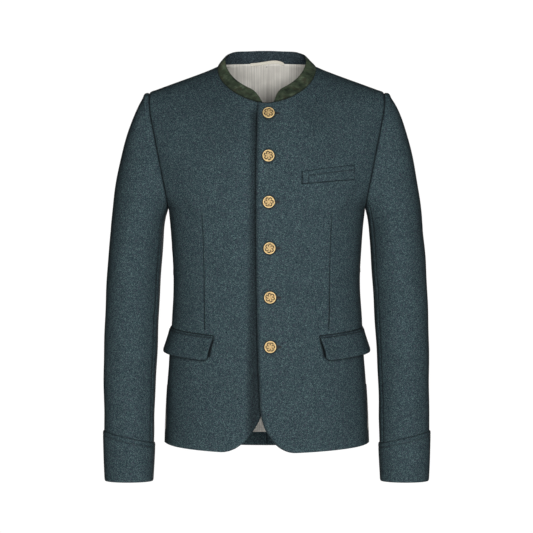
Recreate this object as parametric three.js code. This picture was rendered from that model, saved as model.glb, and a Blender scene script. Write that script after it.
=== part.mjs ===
// Trachten jacket with a stand-up collar, drawn as the cut and sewn pieces it is made of.
// Millimetres, +Z up, +X to the wearer's left, -Y in front of the wearer.
// The origin lies between the two shoulder seams, level with the side of the neck.
import * as THREE from 'three';

// Cloth and seams
const CLOTH_WALL = 2.2;          // one layer of milled wool with its facing
const COLLAR_WALL = 1.5;
const LINING_WALL = 1.0;
const LAYER_GAP = 0.4;           // air between two layers that lie on each other
const UNDERLAP_GAP = 0.9;        // air between the two fronts where they overlap
const LINING_EASE = 2.6;         // air between the back and its loose lining
const SEAM_INSET = 0.2;          // how far each piece stops short of its seam
const ARMHOLE_INSET = 0.4;       // the same for the sleeve head, whose end face is twisted
const COLLAR_INSET = 0.4;

// Neck and shoulders
const NECK_HALF_WIDTH = 88;
const NECK_SIDE_Z = 1.5;
const FRONT_NECK_DROP = 67.5;
const BACK_NECK_RISE = 8.5;
const NECK_ROUNDNESS = 1.6;
const SHOULDER_SLOPE = 0.375;
const SHOULDER_TIP_X = 209;
const TRAPEZIUS = { height: 16, centre: 40, spread: 30 };
const FRONT_SHOULDER = { roll: 230, power: 0.62 };
const BACK_SHOULDER = { roll: 190, power: 0.55 };
const SHOULDER_END = { power: 0.4, from: 110 };   // the ridge is rounder toward the sleeve head

// Armhole
const UNDERARM_Z = -251;
const ARMHOLE_SETBACK = 30;      // how far the armhole edge stands in from the full chest width
const ARMHOLE_SETBACK_RISE = 60;
const CLIMB_POWER = { side: 8, columns: 2 };   // how late the rows turn to the shoulder's own widths
const BODY_ROUNDNESS = 2.3;

// Fronts
const HEM_Z = -678;
const HEM_SIDE_LIFT = 10;
const HEM_LIFT_REACH = 120;
const LEFT_CORNER = { width: 63, height: 88 };
const RIGHT_CORNER = { width: 95, height: 185 };
const UNDERLAP_EDGE = -12;
const TOP_EDGE_X = -15.6;        // edge of the upper front at the neck seam
const UNDERLAP = { flat: 21, ends: 52 };

// Collar
const COLLAR_TOP_HALF_WIDTH = 73;
const COLLAR_SIDE_Z = 19;
const COLLAR_FRONT_DROP = 66;
const COLLAR_BACK_RISE = 15;
const COLLAR_FRONT_Y = -77;
const COLLAR_BACK_Y = 58;
const COLLAR_TOP_START = 12;
const COLLAR_DEPTH_POWER = 0.9;
const COLLAR_START = { left: 13, right: 8 };
const COLLAR_ROWS = [0, 0.4, 0.75, 1];
const COLLAR_ROUNDED_END = [0.52, 0.93];   // share of the full height at the first two columns

// Lining, hanger loop and buttons
const LINING_HEM_Z = -655;
const LINING_NECK_INSET = 1.5;
const LOOP = { from: -29, to: 31, foot: 2, rise: 7, width: 5, y: 52.9, standoff: 3, wall: 1, steps: 12 };
const BUTTON = { radius: 10.5, rim: 2.2, dome: 3.4, shank: 2.4, standoff: 1.4 };

// Grid counts
const ROWS_ABOVE_UNDERARM = 12;
const CORNER_ROWS = { rounded: 7, turn: 15, straight: 7 };   // turn in degrees from row to row
const BACK_ROWS = 9;
const FRONT_COLUMNS = { neck: 8, shoulder: 6 };
const BACK_COLUMNS = { neck: 6, shoulder: 6 };
const SLEEVE_SIDES = 24;
const BUTTON_SIDES = 16;

// Half width and depths of the body at each height
const BODY_LEVELS = [
  { z: -700, halfWidth: 181.5, front: 124, back: 129 },
  { z: -662, halfWidth: 180.5, front: 123, back: 128 },
  { z: -591, halfWidth: 178, front: 121, back: 125 },
  { z: -520, halfWidth: 173.5, front: 118, back: 120 },
  { z: -449, halfWidth: 169, front: 116, back: 114 },
  { z: -377, halfWidth: 165.5, front: 117, back: 112 },
  { z: -324, halfWidth: 168, front: 122, back: 117 },
  { z: -251, halfWidth: 174.5, front: 130, back: 127 },
  { z: -150, halfWidth: 190, front: 130, back: 131 },
  { z: -60, halfWidth: 206, front: 121, back: 124 },
  { z: 40, halfWidth: 214, front: 112, back: 114 },
];

// Front view of the armhole seam
const ARMHOLE_SEAM = [
  { z: -300, x: 168 },
  { z: -251, x: 174.5 },
  { z: -193, x: 183 },
  { z: -124, x: 192 },
  { z: -95, x: 197.5 },
  { z: -68, x: 204 },
  { z: -44, x: 209 },
  { z: -20, x: 213 },
];

// Edge of the front that lies on top, from the neck to where its corner starts
const LEFT_FRONT_EDGE = [
  { z: -590, x: -11.3 },
  { z: -533, x: -13.9 },
  { z: -394, x: -17.2 },
  { z: -168, x: -18 },
  { z: -60, x: -15.6 },
];

// Sleeve sections below the biceps: inner and outer side, middle and half depth
const BICEPS_Z = -290;
const SLEEVE_LEVELS = [
  { z: -290, inner: 182.5, outer: 278, middleY: 4, halfDepth: 72 },
  { z: -342, inner: 186, outer: 282.8, middleY: 4, halfDepth: 68 },
  { z: -413, inner: 190.5, outer: 286.6, middleY: 3, halfDepth: 62 },
  { z: -502, inner: 195, outer: 289, middleY: -1, halfDepth: 57 },
  { z: -591, inner: 198.5, outer: 289, middleY: -9, halfDepth: 53 },
  { z: -662, inner: 199.8, outer: 288, middleY: -17, halfDepth: 50 },
  { z: -740, inner: 203.2, outer: 284.6, middleY: -26, halfDepth: 48 },
];
const SLEEVE_END_Z = -729.5;
const SLEEVE_ROWS_Z = [-330, -375, -420, -470, -525, -580, -640, -690, SLEEVE_END_Z];
const CAP_STEPS = [0, 0.12, 0.28, 0.46, 0.64, 0.82];
const UNDER_SLEEVE = { front: 2, back: 4 };   // columns from the underarm to each sleeve seam

// How the sleeve leaves the armhole, at the underarm and at the shoulder
const CAP_START = { under: 10, top: 85 };
const CAP_END = { under: 40, top: 330 };
const CAP_LEAN = { forward: 0.35, down: 0.25, downAtSides: 0.25, outAtBiceps: 0.05 };

const CUFF = { wall: 1.8, bottom: -731.5, middleTop: -654.5, slant: 10.5, rows: 3 };

// Chest pocket welt, corners on the wearer's left front
const WELT = {
  innerX: 61, outerX: 152, innerTop: -188.6, outerTop: -176, innerBottom: -209.7, outerBottom: -201,
  wall: 2, columns: 6, rows: 2,
};

// Hip flaps as angles round the front, from the front edge to the side
const FLAP = {
  topStart: 33, bottomStart: 36.5, end: 89, innerTop: -474, outerTop: -459, height: 44,
  wall: 2.4, standFront: 4, standSide: 10, standPower: 1.2, columns: 8, rows: 4, roundedEnd: [0.87, 0.98],
};

const BUTTON_PLACES = [
  { x: 3.1, z: -86 },
  { x: 2.8, z: -161 },
  { x: 3.5, z: -241 },
  { x: 4.7, z: -321 },
  { x: 5.7, z: -407 },
  { x: 6.1, z: -493 },
];

const FINISH = {
  cloth: { color: 0x3f5356, roughness: 0.95, metalness: 0 },
  collar: { color: 0x3b4632, roughness: 0.9, metalness: 0 },
  lining: { color: 0xb5b0a8, roughness: 0.6, metalness: 0 },
  tape: { color: 0xcfc8b2, roughness: 0.7, metalness: 0 },
  brass: { color: 0x9a7a45, roughness: 0.4, metalness: 1 },
};

const radians = THREE.MathUtils.degToRad;
const { lerp, smoothstep, clamp } = THREE.MathUtils;

// A smooth curve through one column of a table, read by height
function curve(table, column) {
  const rows = [...table].sort((a, b) => a.z - b.z);
  const slope = (i) => {
    const low = rows[Math.max(i - 1, 0)];
    const high = rows[Math.min(i + 1, rows.length - 1)];
    return (high[column] - low[column]) / (high.z - low.z);
  };
  return (z) => {
    const height = clamp(z, rows[0].z, rows[rows.length - 1].z);
    let i = 0;
    while (i < rows.length - 2 && height > rows[i + 1].z) i += 1;
    const span = rows[i + 1].z - rows[i].z;
    const t = (height - rows[i].z) / span;
    const rise = rows[i + 1][column] - rows[i][column];
    const first = slope(i) * span;
    const last = slope(i + 1) * span;
    return rows[i][column] + first * t + (3 * rise - 2 * first - last) * t * t
      + (first + last - 2 * rise) * t * t * t;
  };
}

const bodyHalfWidth = curve(BODY_LEVELS, 'halfWidth');
const bodyDepth = { front: curve(BODY_LEVELS, 'front'), back: curve(BODY_LEVELS, 'back') };
const armholeX = curve(ARMHOLE_SEAM, 'x');
const leftFrontEdgeX = curve(LEFT_FRONT_EDGE, 'x');
const sleeveInner = curve(SLEEVE_LEVELS, 'inner');
const sleeveOuter = curve(SLEEVE_LEVELS, 'outer');
const sleeveMiddleY = curve(SLEEVE_LEVELS, 'middleY');
const sleeveHalfDepth = curve(SLEEVE_LEVELS, 'halfDepth');

// Height of the shoulder ridge, carried on over the neck hole so that both halves round into it
function ridgeZ(x) {
  const across = Math.abs(x);
  const bump = TRAPEZIUS.height * Math.exp(-(((across - TRAPEZIUS.centre) / TRAPEZIUS.spread) ** 2));
  return NECK_SIDE_Z + SHOULDER_SLOPE * (NECK_HALF_WIDTH - across) + bump;
}

// Width at which the body's section would close, wider than the armhole above the underarm
function closingWidth(z) {
  const above = Math.max(z - UNDERARM_Z, 0);
  const setback = ARMHOLE_SETBACK * (1 - Math.exp(-above / ARMHOLE_SETBACK_RISE));
  return z > UNDERARM_Z ? armholeX(z) + setback : bodyHalfWidth(z);
}

// Depth of the front or back surface behind a point of the front view
function depthAt(x, z, side) {
  const share = Math.min(Math.abs(x) / closingWidth(z), 1);
  const round = (1 - share ** BODY_ROUNDNESS) ** (1 / BODY_ROUNDNESS);
  const shoulder = side === 'front' ? FRONT_SHOULDER : BACK_SHOULDER;
  const fall = clamp((ridgeZ(x) - z) / shoulder.roll, 0, 1);
  const outward = smoothstep(Math.abs(x), SHOULDER_END.from, SHOULDER_TIP_X);
  const roll = (1 - (1 - fall) ** 2) ** lerp(shoulder.power, SHOULDER_END.power, outward);
  return bodyDepth[side](z) * round * roll;
}

function surfacePoint(x, z, side) {
  const forward = side === 'front' ? -1 : 1;
  return new THREE.Vector3(x, forward * depthAt(x, z, side), z);
}

// Top of a panel: the neck cut, then the shoulder seam
function panelTopZ(x, side) {
  const across = Math.min(Math.abs(x) / NECK_HALF_WIDTH, 1);
  if (Math.abs(x) >= NECK_HALF_WIDTH) {
    return ridgeZ(x);
  }
  const cut = Math.sqrt(1 - across ** NECK_ROUNDNESS);
  return side === 'front' ? NECK_SIDE_Z - FRONT_NECK_DROP * cut : NECK_SIDE_Z + BACK_NECK_RISE * cut;
}

// Columns of a panel at its top, dense where the neck cut turns steep
function topColumns(startX, firstX, { neck, shoulder }) {
  const columns = startX < firstX ? [startX] : [];
  const firstAngle = Math.asin(firstX / NECK_HALF_WIDTH);
  for (let i = 0; i <= neck; i += 1) {
    columns.push(NECK_HALF_WIDTH * Math.sin(lerp(firstAngle, Math.PI / 2, i / neck)));
  }
  for (let i = 1; i <= shoulder; i += 1) {
    const along = lerp(i / shoulder, Math.sin(i / shoulder * Math.PI / 2), 0.5);
    columns.push(lerp(NECK_HALF_WIDTH, SHOULDER_TIP_X, along));
  }
  return columns;
}

// Share of the way from a panel's edge to its side, spread evenly round the section
function spread(share, sideX, z) {
  const turn = Math.asin(Math.min(sideX / closingWidth(z), 1));
  const topTurn = Math.asin(SHOULDER_TIP_X / closingWidth(ridgeZ(SHOULDER_TIP_X)));
  const angle = Math.asin(clamp(share * Math.sin(topTurn), 0, 1)) / topTurn;
  return Math.sin(angle * turn) / Math.sin(turn);
}

// One body panel, right half space: rows from hem to underarm, then up to neck and shoulder
function panelGrid({ side, edgeX, topXs, rowsBelow, corner }) {
  const rows = [];
  const startX = topXs[0];
  const shares = topXs.map((x) => (x - startX) / (SHOULDER_TIP_X - startX));
  for (const z of rowsBelow) {
    let start = edgeX(z);
    if (corner && z < HEM_Z + corner.height) {
      const up = (z - HEM_Z) / corner.height;
      start += corner.width * (1 - Math.sqrt(1 - (1 - up) ** 2));
    }
    const sideX = closingWidth(z);
    rows.push(shares.map((share) => {
      const x = lerp(start, sideX, spread(share, sideX, z));
      const nearHem = smoothstep(HEM_Z + HEM_LIFT_REACH - z, 0, HEM_LIFT_REACH);
      const lift = HEM_SIDE_LIFT * (x / sideX) ** 2 * nearHem;
      return surfacePoint(x, z + lift, side);
    }));
  }
  for (let k = 1; k <= ROWS_ABOVE_UNDERARM; k += 1) {
    const climb = (1 - Math.cos(k / ROWS_ABOVE_UNDERARM * Math.PI)) / 2;
    const sideZ = lerp(UNDERARM_Z, ridgeZ(SHOULDER_TIP_X), climb);
    const sideX = lerp(armholeX(sideZ), SHOULDER_TIP_X, climb ** CLIMB_POWER.side);
    rows.push(shares.map((share, i) => {
      const z = lerp(UNDERARM_Z, panelTopZ(topXs[i], side), climb);
      const below = lerp(edgeX(z), sideX, spread(share, sideX, sideZ));
      const x = lerp(below, topXs[i], climb ** CLIMB_POWER.columns);
      const top = k === ROWS_ABOVE_UNDERARM;
      return surfacePoint(x, top ? panelTopZ(topXs[i], side) : z, side);
    }));
  }
  return rows;
}

// Unit normals of a grid: its direction across a row crossed with its direction from row to row
function gridNormals(grid, wrapped = false) {
  const last = grid[0].length - 1;
  return grid.map((row, r) => row.map((_, c) => {
    const low = grid[Math.max(r - 1, 0)][c];
    const high = grid[Math.min(r + 1, grid.length - 1)][c];
    const before = row[wrapped ? (c + last) % (last + 1) : Math.max(c - 1, 0)];
    const after = row[wrapped ? (c + 1) % (last + 1) : Math.min(c + 1, last)];
    const up = new THREE.Vector3().subVectors(high, low);
    const across = new THREE.Vector3().subVectors(after, before);
    return across.cross(up).normalize();
  }));
}

// Direction and length from a shared corner to where two walls of unit thickness meet inside
function mitre(first, second) {
  return first.clone().add(second).multiplyScalar(-1 / (1 + first.dot(second)));
}

function flattened(normal, axis) {
  const flat = normal.clone();
  flat[axis] = 0;
  return flat.normalize();
}

// A second grid behind the first, each point moved along its own inward direction
function offsetGrid(grid, inward, distance) {
  return grid.map((row, r) => row.map((point, c) =>
    point.clone().addScaledVector(inward[r][c], distance)));
}

// Moves one border of a grid back toward its neighbours, which leaves the gap of a seam
function trimmed(grid, border, amount = SEAM_INSET) {
  const lastRow = grid.length - 1;
  const lastColumn = grid[0].length - 1;
  const pull = (point, toward) =>
    point.clone().addScaledVector(toward.clone().sub(point).normalize(), amount);
  return grid.map((row, r) => row.map((point, c) => {
    if (border === 'bottom' && r === 0) return pull(point, grid[1][c]);
    if (border === 'top' && r === lastRow) return pull(point, grid[lastRow - 1][c]);
    if (border === 'first' && c === 0) return pull(point, row[1]);
    if (border === 'last' && c === lastColumn) return pull(point, row[lastColumn - 1]);
    return point;
  }));
}

// A closed wall between two grids of the same size. The two faces of its last border can be
// split along their other diagonal, to lie flat against a neighbour that runs the other way.
function wallGeometry(outer, inner, { wrapped = false, otherDiagonal = false } = {}) {
  const rows = outer.length;
  const columns = outer[0].length;
  const points = [...outer.flat(), ...inner.flat()];
  const behind = rows * columns;
  const faces = [];
  const quad = (a, b, c, d) => faces.push([a, b, c], [a, c, d]);
  const at = (r, c) => r * columns + (c % columns);
  const spans = wrapped ? columns : columns - 1;
  for (let r = 0; r < rows - 1; r += 1) {
    for (let c = 0; c < spans; c += 1) {
      quad(at(r, c), at(r, c + 1), at(r + 1, c + 1), at(r + 1, c));
      quad(behind + at(r, c), behind + at(r + 1, c), behind + at(r + 1, c + 1), behind + at(r, c + 1));
    }
  }
  for (let c = 0; c < spans; c += 1) {
    quad(at(0, c), behind + at(0, c), behind + at(0, c + 1), at(0, c + 1));
    quad(at(rows - 1, c), at(rows - 1, c + 1), behind + at(rows - 1, c + 1), behind + at(rows - 1, c));
  }
  if (!wrapped) {
    for (let r = 0; r < rows - 1; r += 1) {
      quad(at(r, 0), at(r + 1, 0), behind + at(r + 1, 0), behind + at(r, 0));
      const border = [at(r, columns - 1), behind + at(r, columns - 1)];
      const above = [at(r + 1, columns - 1), behind + at(r + 1, columns - 1)];
      if (otherDiagonal) {
        quad(border[1], above[1], above[0], border[0]);
      } else {
        quad(border[0], border[1], above[1], above[0]);
      }
    }
  }
  return facingOut(points, faces);
}

// Turned solid about +Z from a profile of radius and height, closed at both ends on the axis
function turnedGeometry(profile, sides) {
  const points = [];
  for (const { r, z } of profile) {
    for (let i = 0; i < sides; i += 1) {
      const angle = i / sides * Math.PI * 2;
      points.push(new THREE.Vector3(r * Math.cos(angle), r * Math.sin(angle), z));
    }
  }
  const bottom = points.push(new THREE.Vector3(0, 0, profile[0].z)) - 1;
  const top = points.push(new THREE.Vector3(0, 0, profile[profile.length - 1].z)) - 1;
  const faces = [];
  for (let i = 0; i < sides; i += 1) {
    const next = (i + 1) % sides;
    faces.push([bottom, next, i]);
    for (let ring = 0; ring < profile.length - 1; ring += 1) {
      const low = ring * sides;
      const high = low + sides;
      faces.push([low + i, low + next, high + next], [low + i, high + next, high + i]);
    }
    const last = (profile.length - 1) * sides;
    faces.push([top, last + i, last + next]);
  }
  return facingOut(points, faces);
}

// Buffer geometry whose faces all look out of the solid
function facingOut(points, faces) {
  let volume = 0;
  const turn = new THREE.Vector3();
  for (const [a, b, c] of faces) {
    volume += points[a].dot(turn.crossVectors(points[b], points[c]));
  }
  const ordered = volume < 0 ? faces.map(([a, b, c]) => [a, c, b]) : faces;
  const geometry = new THREE.BufferGeometry();
  const coordinates = points.flatMap((p) => [p.x, p.y, p.z]);
  geometry.setAttribute('position', new THREE.Float32BufferAttribute(coordinates, 3));
  geometry.setIndex(ordered.flat());
  geometry.computeVertexNormals();
  return geometry;
}

const mirrored = (grid) => grid.map((row) => row.map((p) => new THREE.Vector3(-p.x, p.y, p.z)));

const jacket = new THREE.Group();
jacket.name = 'trachten_jacket';

function addPiece(name, geometry, finish) {
  const mesh = new THREE.Mesh(geometry, new THREE.MeshStandardMaterial(FINISH[finish]));
  mesh.name = name;
  jacket.add(mesh);
  return mesh;
}

// Rows from hem to underarm, dense where a front's corner is rounded
function cornerRows(corner) {
  const rows = [];
  for (let step = 0; step < CORNER_ROWS.rounded; step += 1) {
    rows.push(HEM_Z + corner.height * (1 - Math.cos(radians(step * CORNER_ROWS.turn))));
  }
  for (let step = 0; step <= CORNER_ROWS.straight; step += 1) {
    rows.push(lerp(HEM_Z + corner.height, UNDERARM_Z, step / CORNER_ROWS.straight));
  }
  return rows;
}

function evenRows(count) {
  return Array.from({ length: count + 1 }, (_, i) => lerp(HEM_Z, UNDERARM_Z, i / count));
}

// The four body panels, each as if on the wearer's left, the right ones mirrored at the end
const leftTop = topColumns(TOP_EDGE_X, COLLAR_START.left, FRONT_COLUMNS);
const rightTop = topColumns(UNDERLAP_EDGE, COLLAR_START.right, FRONT_COLUMNS);
const backTop = topColumns(0, 0, BACK_COLUMNS);

const frontLeft = panelGrid({
  side: 'front', edgeX: leftFrontEdgeX, topXs: leftTop,
  rowsBelow: cornerRows(LEFT_CORNER), corner: LEFT_CORNER,
});
const frontRight = panelGrid({
  side: 'front', edgeX: () => UNDERLAP_EDGE, topXs: rightTop,
  rowsBelow: cornerRows(RIGHT_CORNER), corner: RIGHT_CORNER,
});
const back = panelGrid({
  side: 'back', edgeX: () => 0, topXs: backTop,
  rowsBelow: evenRows(BACK_ROWS), corner: null,
});

// The right front passes behind the left one where they overlap
function pushedUnder(grid) {
  return grid.map((row) => row.map((p) => {
    const share = 1 - smoothstep(p.x, UNDERLAP.flat, UNDERLAP.ends);
    return new THREE.Vector3(p.x, p.y + share * (CLOTH_WALL + UNDERLAP_GAP), p.z);
  }));
}
const frontUnder = pushedUnder(frontRight);

const outwards = {
  frontLeft: gridNormals(frontLeft),
  frontUnder: gridNormals(frontUnder),
  back: gridNormals(back).map((row) => row.map((n) => n.negate())),
};

// Sleeve as a closed ring of columns: 0 at the underarm, then front, shoulder and back
function armholeLoop(front, rear) {
  const lastColumn = (grid) => grid.slice(-ROWS_ABOVE_UNDERARM - 1).map((row) => row[row.length - 1]);
  const climbing = lastColumn(front);
  const falling = lastColumn(rear).reverse();
  return [...climbing, ...falling.slice(1, -1)];
}

function sleeveRingPoint(z, column) {
  const turn = column / SLEEVE_SIDES * Math.PI * 2;
  const inner = sleeveInner(z);
  const outer = sleeveOuter(z);
  const x = (inner + outer) / 2 - (outer - inner) / 2 * Math.cos(turn);
  const y = sleeveMiddleY(z) - sleeveHalfDepth(z) * Math.sin(turn);
  return new THREE.Vector3(x, y, z);
}

function capDirection(column) {
  const turn = column / SLEEVE_SIDES * Math.PI * 2;
  const sideways = Math.abs(Math.sin(turn));
  const down = CAP_LEAN.down + CAP_LEAN.downAtSides * sideways;
  return new THREE.Vector3(1, -CAP_LEAN.forward * Math.sin(turn), -down).normalize();
}

function sleeveGrid(loop) {
  const rows = CAP_STEPS.map((s) => loop.map((start, column) => {
    const height = (1 - Math.cos(column / SLEEVE_SIDES * Math.PI * 2)) / 2;
    const leave = capDirection(column).multiplyScalar(lerp(CAP_START.under, CAP_START.top, height));
    const arrive = new THREE.Vector3(CAP_LEAN.outAtBiceps, 0, -1)
      .multiplyScalar(lerp(CAP_END.under, CAP_END.top, height));
    const end = sleeveRingPoint(BICEPS_Z, column);
    const s2 = s * s;
    const s3 = s2 * s;
    return new THREE.Vector3()
      .addScaledVector(start, 2 * s3 - 3 * s2 + 1)
      .addScaledVector(leave, s3 - 2 * s2 + s)
      .addScaledVector(end, 3 * s2 - 2 * s3)
      .addScaledVector(arrive, s3 - s2);
  }));
  for (const z of [BICEPS_Z, ...SLEEVE_ROWS_Z]) {
    rows.push(Array.from({ length: SLEEVE_SIDES }, (_, column) => sleeveRingPoint(z, column)));
  }
  return rows;
}

// Where body and sleeve walls meet inside the armhole, one direction for each column
function armholeMitres(loop, frontNormals, rearNormals) {
  const climbing = frontNormals.slice(-ROWS_ABOVE_UNDERARM - 1).map((row) => row[row.length - 1]);
  const falling = rearNormals.slice(-ROWS_ABOVE_UNDERARM - 1).map((row) => row[row.length - 1]).reverse();
  const bodyNormals = [...climbing, ...falling.slice(1, -1)];
  return loop.map((_, column) => {
    const along = new THREE.Vector3()
      .subVectors(loop[(column + 1) % SLEEVE_SIDES], loop[(column + SLEEVE_SIDES - 1) % SLEEVE_SIDES]);
    let sleeveNormal = new THREE.Vector3().crossVectors(capDirection(column), along).normalize();
    let bodyNormal = bodyNormals[column];
    if (column === 0 || column === SLEEVE_SIDES / 2) {
      sleeveNormal = flattened(sleeveNormal, 'y');
      bodyNormal = flattened(bodyNormal, 'y');
    }
    return mitre(bodyNormal, sleeveNormal);
  });
}

// A body panel's wall: mitred at armhole and collar, square to the surface elsewhere
function bodyWall(grid, normals, mitres, { side, neckNormals, borders }) {
  const lastColumn = grid[0].length - 1;
  const lastRow = grid.length - 1;
  const firstArmholeRow = lastRow - ROWS_ABOVE_UNDERARM;
  const inward = normals.map((row, r) => row.map((normal, c) => {
    if (c === lastColumn && r >= firstArmholeRow) {
      const step = r - firstArmholeRow;
      return mitres[side === 'front' ? step : (SLEEVE_SIDES - step) % SLEEVE_SIDES];
    }
    if (c === lastColumn) return flattened(normal, 'y').negate();
    if (r === lastRow && grid[r][c].x >= NECK_HALF_WIDTH) return flattened(normal, 'y').negate();
    if (r === lastRow && neckNormals[c]) return mitre(normal, neckNormals[c]);
    if (c === 0 && side === 'back') return flattened(normal, 'x').negate();
    return normal.clone().negate();
  }));
  let outer = grid;
  let inner = offsetGrid(grid, inward, CLOTH_WALL);
  for (const border of borders) {
    outer = trimmed(outer, border);
    inner = trimmed(inner, border);
  }
  return { outer, inner };
}

// Top edge of the collar above a point of the neck seam
function collarTop(bottom) {
  const front = bottom.y <= 0;
  const across = Math.abs(bottom.x);
  const x = front
    ? lerp(COLLAR_TOP_START, COLLAR_TOP_HALF_WIDTH, across / NECK_HALF_WIDTH)
    : COLLAR_TOP_HALF_WIDTH * across / NECK_HALF_WIDTH;
  const turn = 1 - Math.min(x / COLLAR_TOP_HALF_WIDTH, 1) ** (front ? NECK_ROUNDNESS : 2);
  const round = Math.sqrt(turn);
  const z = front ? COLLAR_SIDE_Z - COLLAR_FRONT_DROP * round : COLLAR_SIDE_Z + COLLAR_BACK_RISE * round;
  const y = (front ? COLLAR_FRONT_Y : COLLAR_BACK_Y) * round ** COLLAR_DEPTH_POWER;
  return new THREE.Vector3(Math.sign(bottom.x) * x, y, z);
}

// Collar rows from the neck seam up, the free ends rounded off
function collarGrid(seam) {
  return COLLAR_ROWS.map((share) => seam.map((bottom, c) => {
    const fromEnd = Math.min(c, seam.length - 1 - c);
    const height = COLLAR_ROUNDED_END[fromEnd] ?? 1;
    return bottom.clone().lerp(collarTop(bottom), share * height);
  }));
}

const neckColumn = (grid, x) => grid[grid.length - 1].findIndex((p) => Math.abs(p.x - x) < 0.01);
const topRow = (grid) => grid[grid.length - 1];
const mirrorPoint = (p) => new THREE.Vector3(-p.x, p.y, p.z);

// Neck seam from the right front's collar end, round the back, to the left front's collar end
const collarStart = {
  left: neckColumn(frontLeft, COLLAR_START.left),
  right: neckColumn(frontRight, COLLAR_START.right),
};
const neckEnd = {
  left: neckColumn(frontLeft, NECK_HALF_WIDTH),
  right: neckColumn(frontRight, NECK_HALF_WIDTH),
  back: neckColumn(back, NECK_HALF_WIDTH),
};
const seamRight = topRow(frontUnder).slice(collarStart.right, neckEnd.right + 1).map(mirrorPoint);
const seamBackRight = topRow(back).slice(0, neckEnd.back).reverse().map(mirrorPoint);
const seamBackLeft = topRow(back).slice(1, neckEnd.back);
const seamLeft = topRow(frontLeft).slice(collarStart.left, neckEnd.left + 1).reverse();
const neckSeam = [...seamRight, ...seamBackRight, ...seamBackLeft, ...seamLeft];
const collar = collarGrid(neckSeam);
const collarNormals = gridNormals(collar).map((row) => row.map((n) => n.negate()));
const collarSeamNormals = collarNormals[0];

const normalRight = collarSeamNormals.slice(0, seamRight.length).map(mirrorPoint);
const normalBack = collarSeamNormals
  .slice(seamRight.length + seamBackRight.length - 1, -seamLeft.length);
const normalLeft = collarSeamNormals.slice(-seamLeft.length).reverse();

// The collar normals in the order of each panel's own top columns
const neckNormals = {
  left: [...Array(collarStart.left).fill(null), ...normalLeft],
  right: [...Array(collarStart.right).fill(null), ...normalRight],
  back: normalBack,
};

const loops = { left: armholeLoop(frontLeft, back), right: armholeLoop(frontUnder, back) };
const mitres = {
  left: armholeMitres(loops.left, outwards.frontLeft, outwards.back),
  right: armholeMitres(loops.right, outwards.frontUnder, outwards.back),
};

const walls = {
  front_left: bodyWall(frontLeft, outwards.frontLeft, mitres.left, {
    side: 'front', neckNormals: neckNormals.left, borders: ['top', 'last'],
  }),
  front_right: bodyWall(frontUnder, outwards.frontUnder, mitres.right, {
    side: 'front', neckNormals: neckNormals.right, borders: ['top', 'last'],
  }),
  back_left: bodyWall(back, outwards.back, mitres.left, {
    side: 'back', neckNormals: neckNormals.back, borders: ['top', 'last', 'first'],
  }),
};

addPiece('front_left', wallGeometry(
  walls.front_left.outer,
  walls.front_left.inner,
), 'cloth');
addPiece('front_right', wallGeometry(
  mirrored(walls.front_right.outer),
  mirrored(walls.front_right.inner),
), 'cloth');
addPiece('back_left', wallGeometry(
  walls.back_left.outer,
  walls.back_left.inner,
  { otherDiagonal: true },
), 'cloth');
addPiece('back_right', wallGeometry(
  mirrored(walls.back_left.outer),
  mirrored(walls.back_left.inner),
  { otherDiagonal: true },
), 'cloth');

// Both sleeves, each cut as an upper and an under piece, and their cuffs
function addSleeve(side, loop, sideMitres) {
  const place = side === 'left' ? (grid) => grid : mirrored;
  const grid = sleeveGrid(loop);
  const inward = gridNormals(grid, true);
  inward[0] = sideMitres;
  const inner = offsetGrid(grid, inward, CLOTH_WALL);
  const columnsFrom = (first, count) => (row) =>
    Array.from({ length: count }, (_, i) => row[(first + i + SLEEVE_SIDES) % SLEEVE_SIDES]);
  const underColumns = UNDER_SLEEVE.front + UNDER_SLEEVE.back;
  const cuts = {
    under: columnsFrom(-UNDER_SLEEVE.back, underColumns + 1),
    upper: columnsFrom(UNDER_SLEEVE.front, SLEEVE_SIDES - underColumns + 1),
  };
  for (const [part, cut] of Object.entries(cuts)) {
    let outside = grid.map(cut);
    let inside = inner.map(cut);
    for (const border of ['first', 'last', 'bottom']) {
      const amount = border === 'bottom' ? ARMHOLE_INSET : SEAM_INSET;
      outside = trimmed(outside, border, amount);
      inside = trimmed(inside, border, amount);
    }
    addPiece(`sleeve_${side}_${part}`, wallGeometry(place(outside), place(inside)), 'cloth');
  }
  addPiece(`cuff_${side}`, cuffGeometry(place), 'cloth');
}

function cuffGeometry(place) {
  const ring = { rows: CUFF.rows, columns: SLEEVE_SIDES - 1 };
  const grid = (distance) => pointGrid(ring, (down, _, column) => {
    const turn = column / SLEEVE_SIDES * Math.PI * 2;
    const top = CUFF.middleTop - CUFF.slant * Math.cos(turn);
    const point = sleeveRingPoint(lerp(top, CUFF.bottom, down), column);
    const out = new THREE.Vector3(-Math.cos(turn), -Math.sin(turn), 0);
    return point.addScaledVector(out, distance);
  });
  return wallGeometry(place(grid(LAYER_GAP + CUFF.wall)), place(grid(LAYER_GAP)), { wrapped: true });
}

addSleeve('left', loops.left, mitres.left);
addSleeve('right', loops.right, mitres.right);

// Collar of two layers: suede outside, cloth inside
function collarLayer(name, from, wall, finish) {
  const seamInward = neckSeam.map((p, c) => mitre(seamOutwards[c], collarSeamNormals[c]));
  const inward = [seamInward, ...collarNormals.slice(1).map((row) => row.map((n) => n.clone().negate()))];
  const outer = trimmed(offsetGrid(collar, inward, from), 'bottom', COLLAR_INSET);
  const inner = trimmed(offsetGrid(collar, inward, from + wall), 'bottom', COLLAR_INSET);
  addPiece(name, wallGeometry(outer, inner), finish);
}

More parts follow.
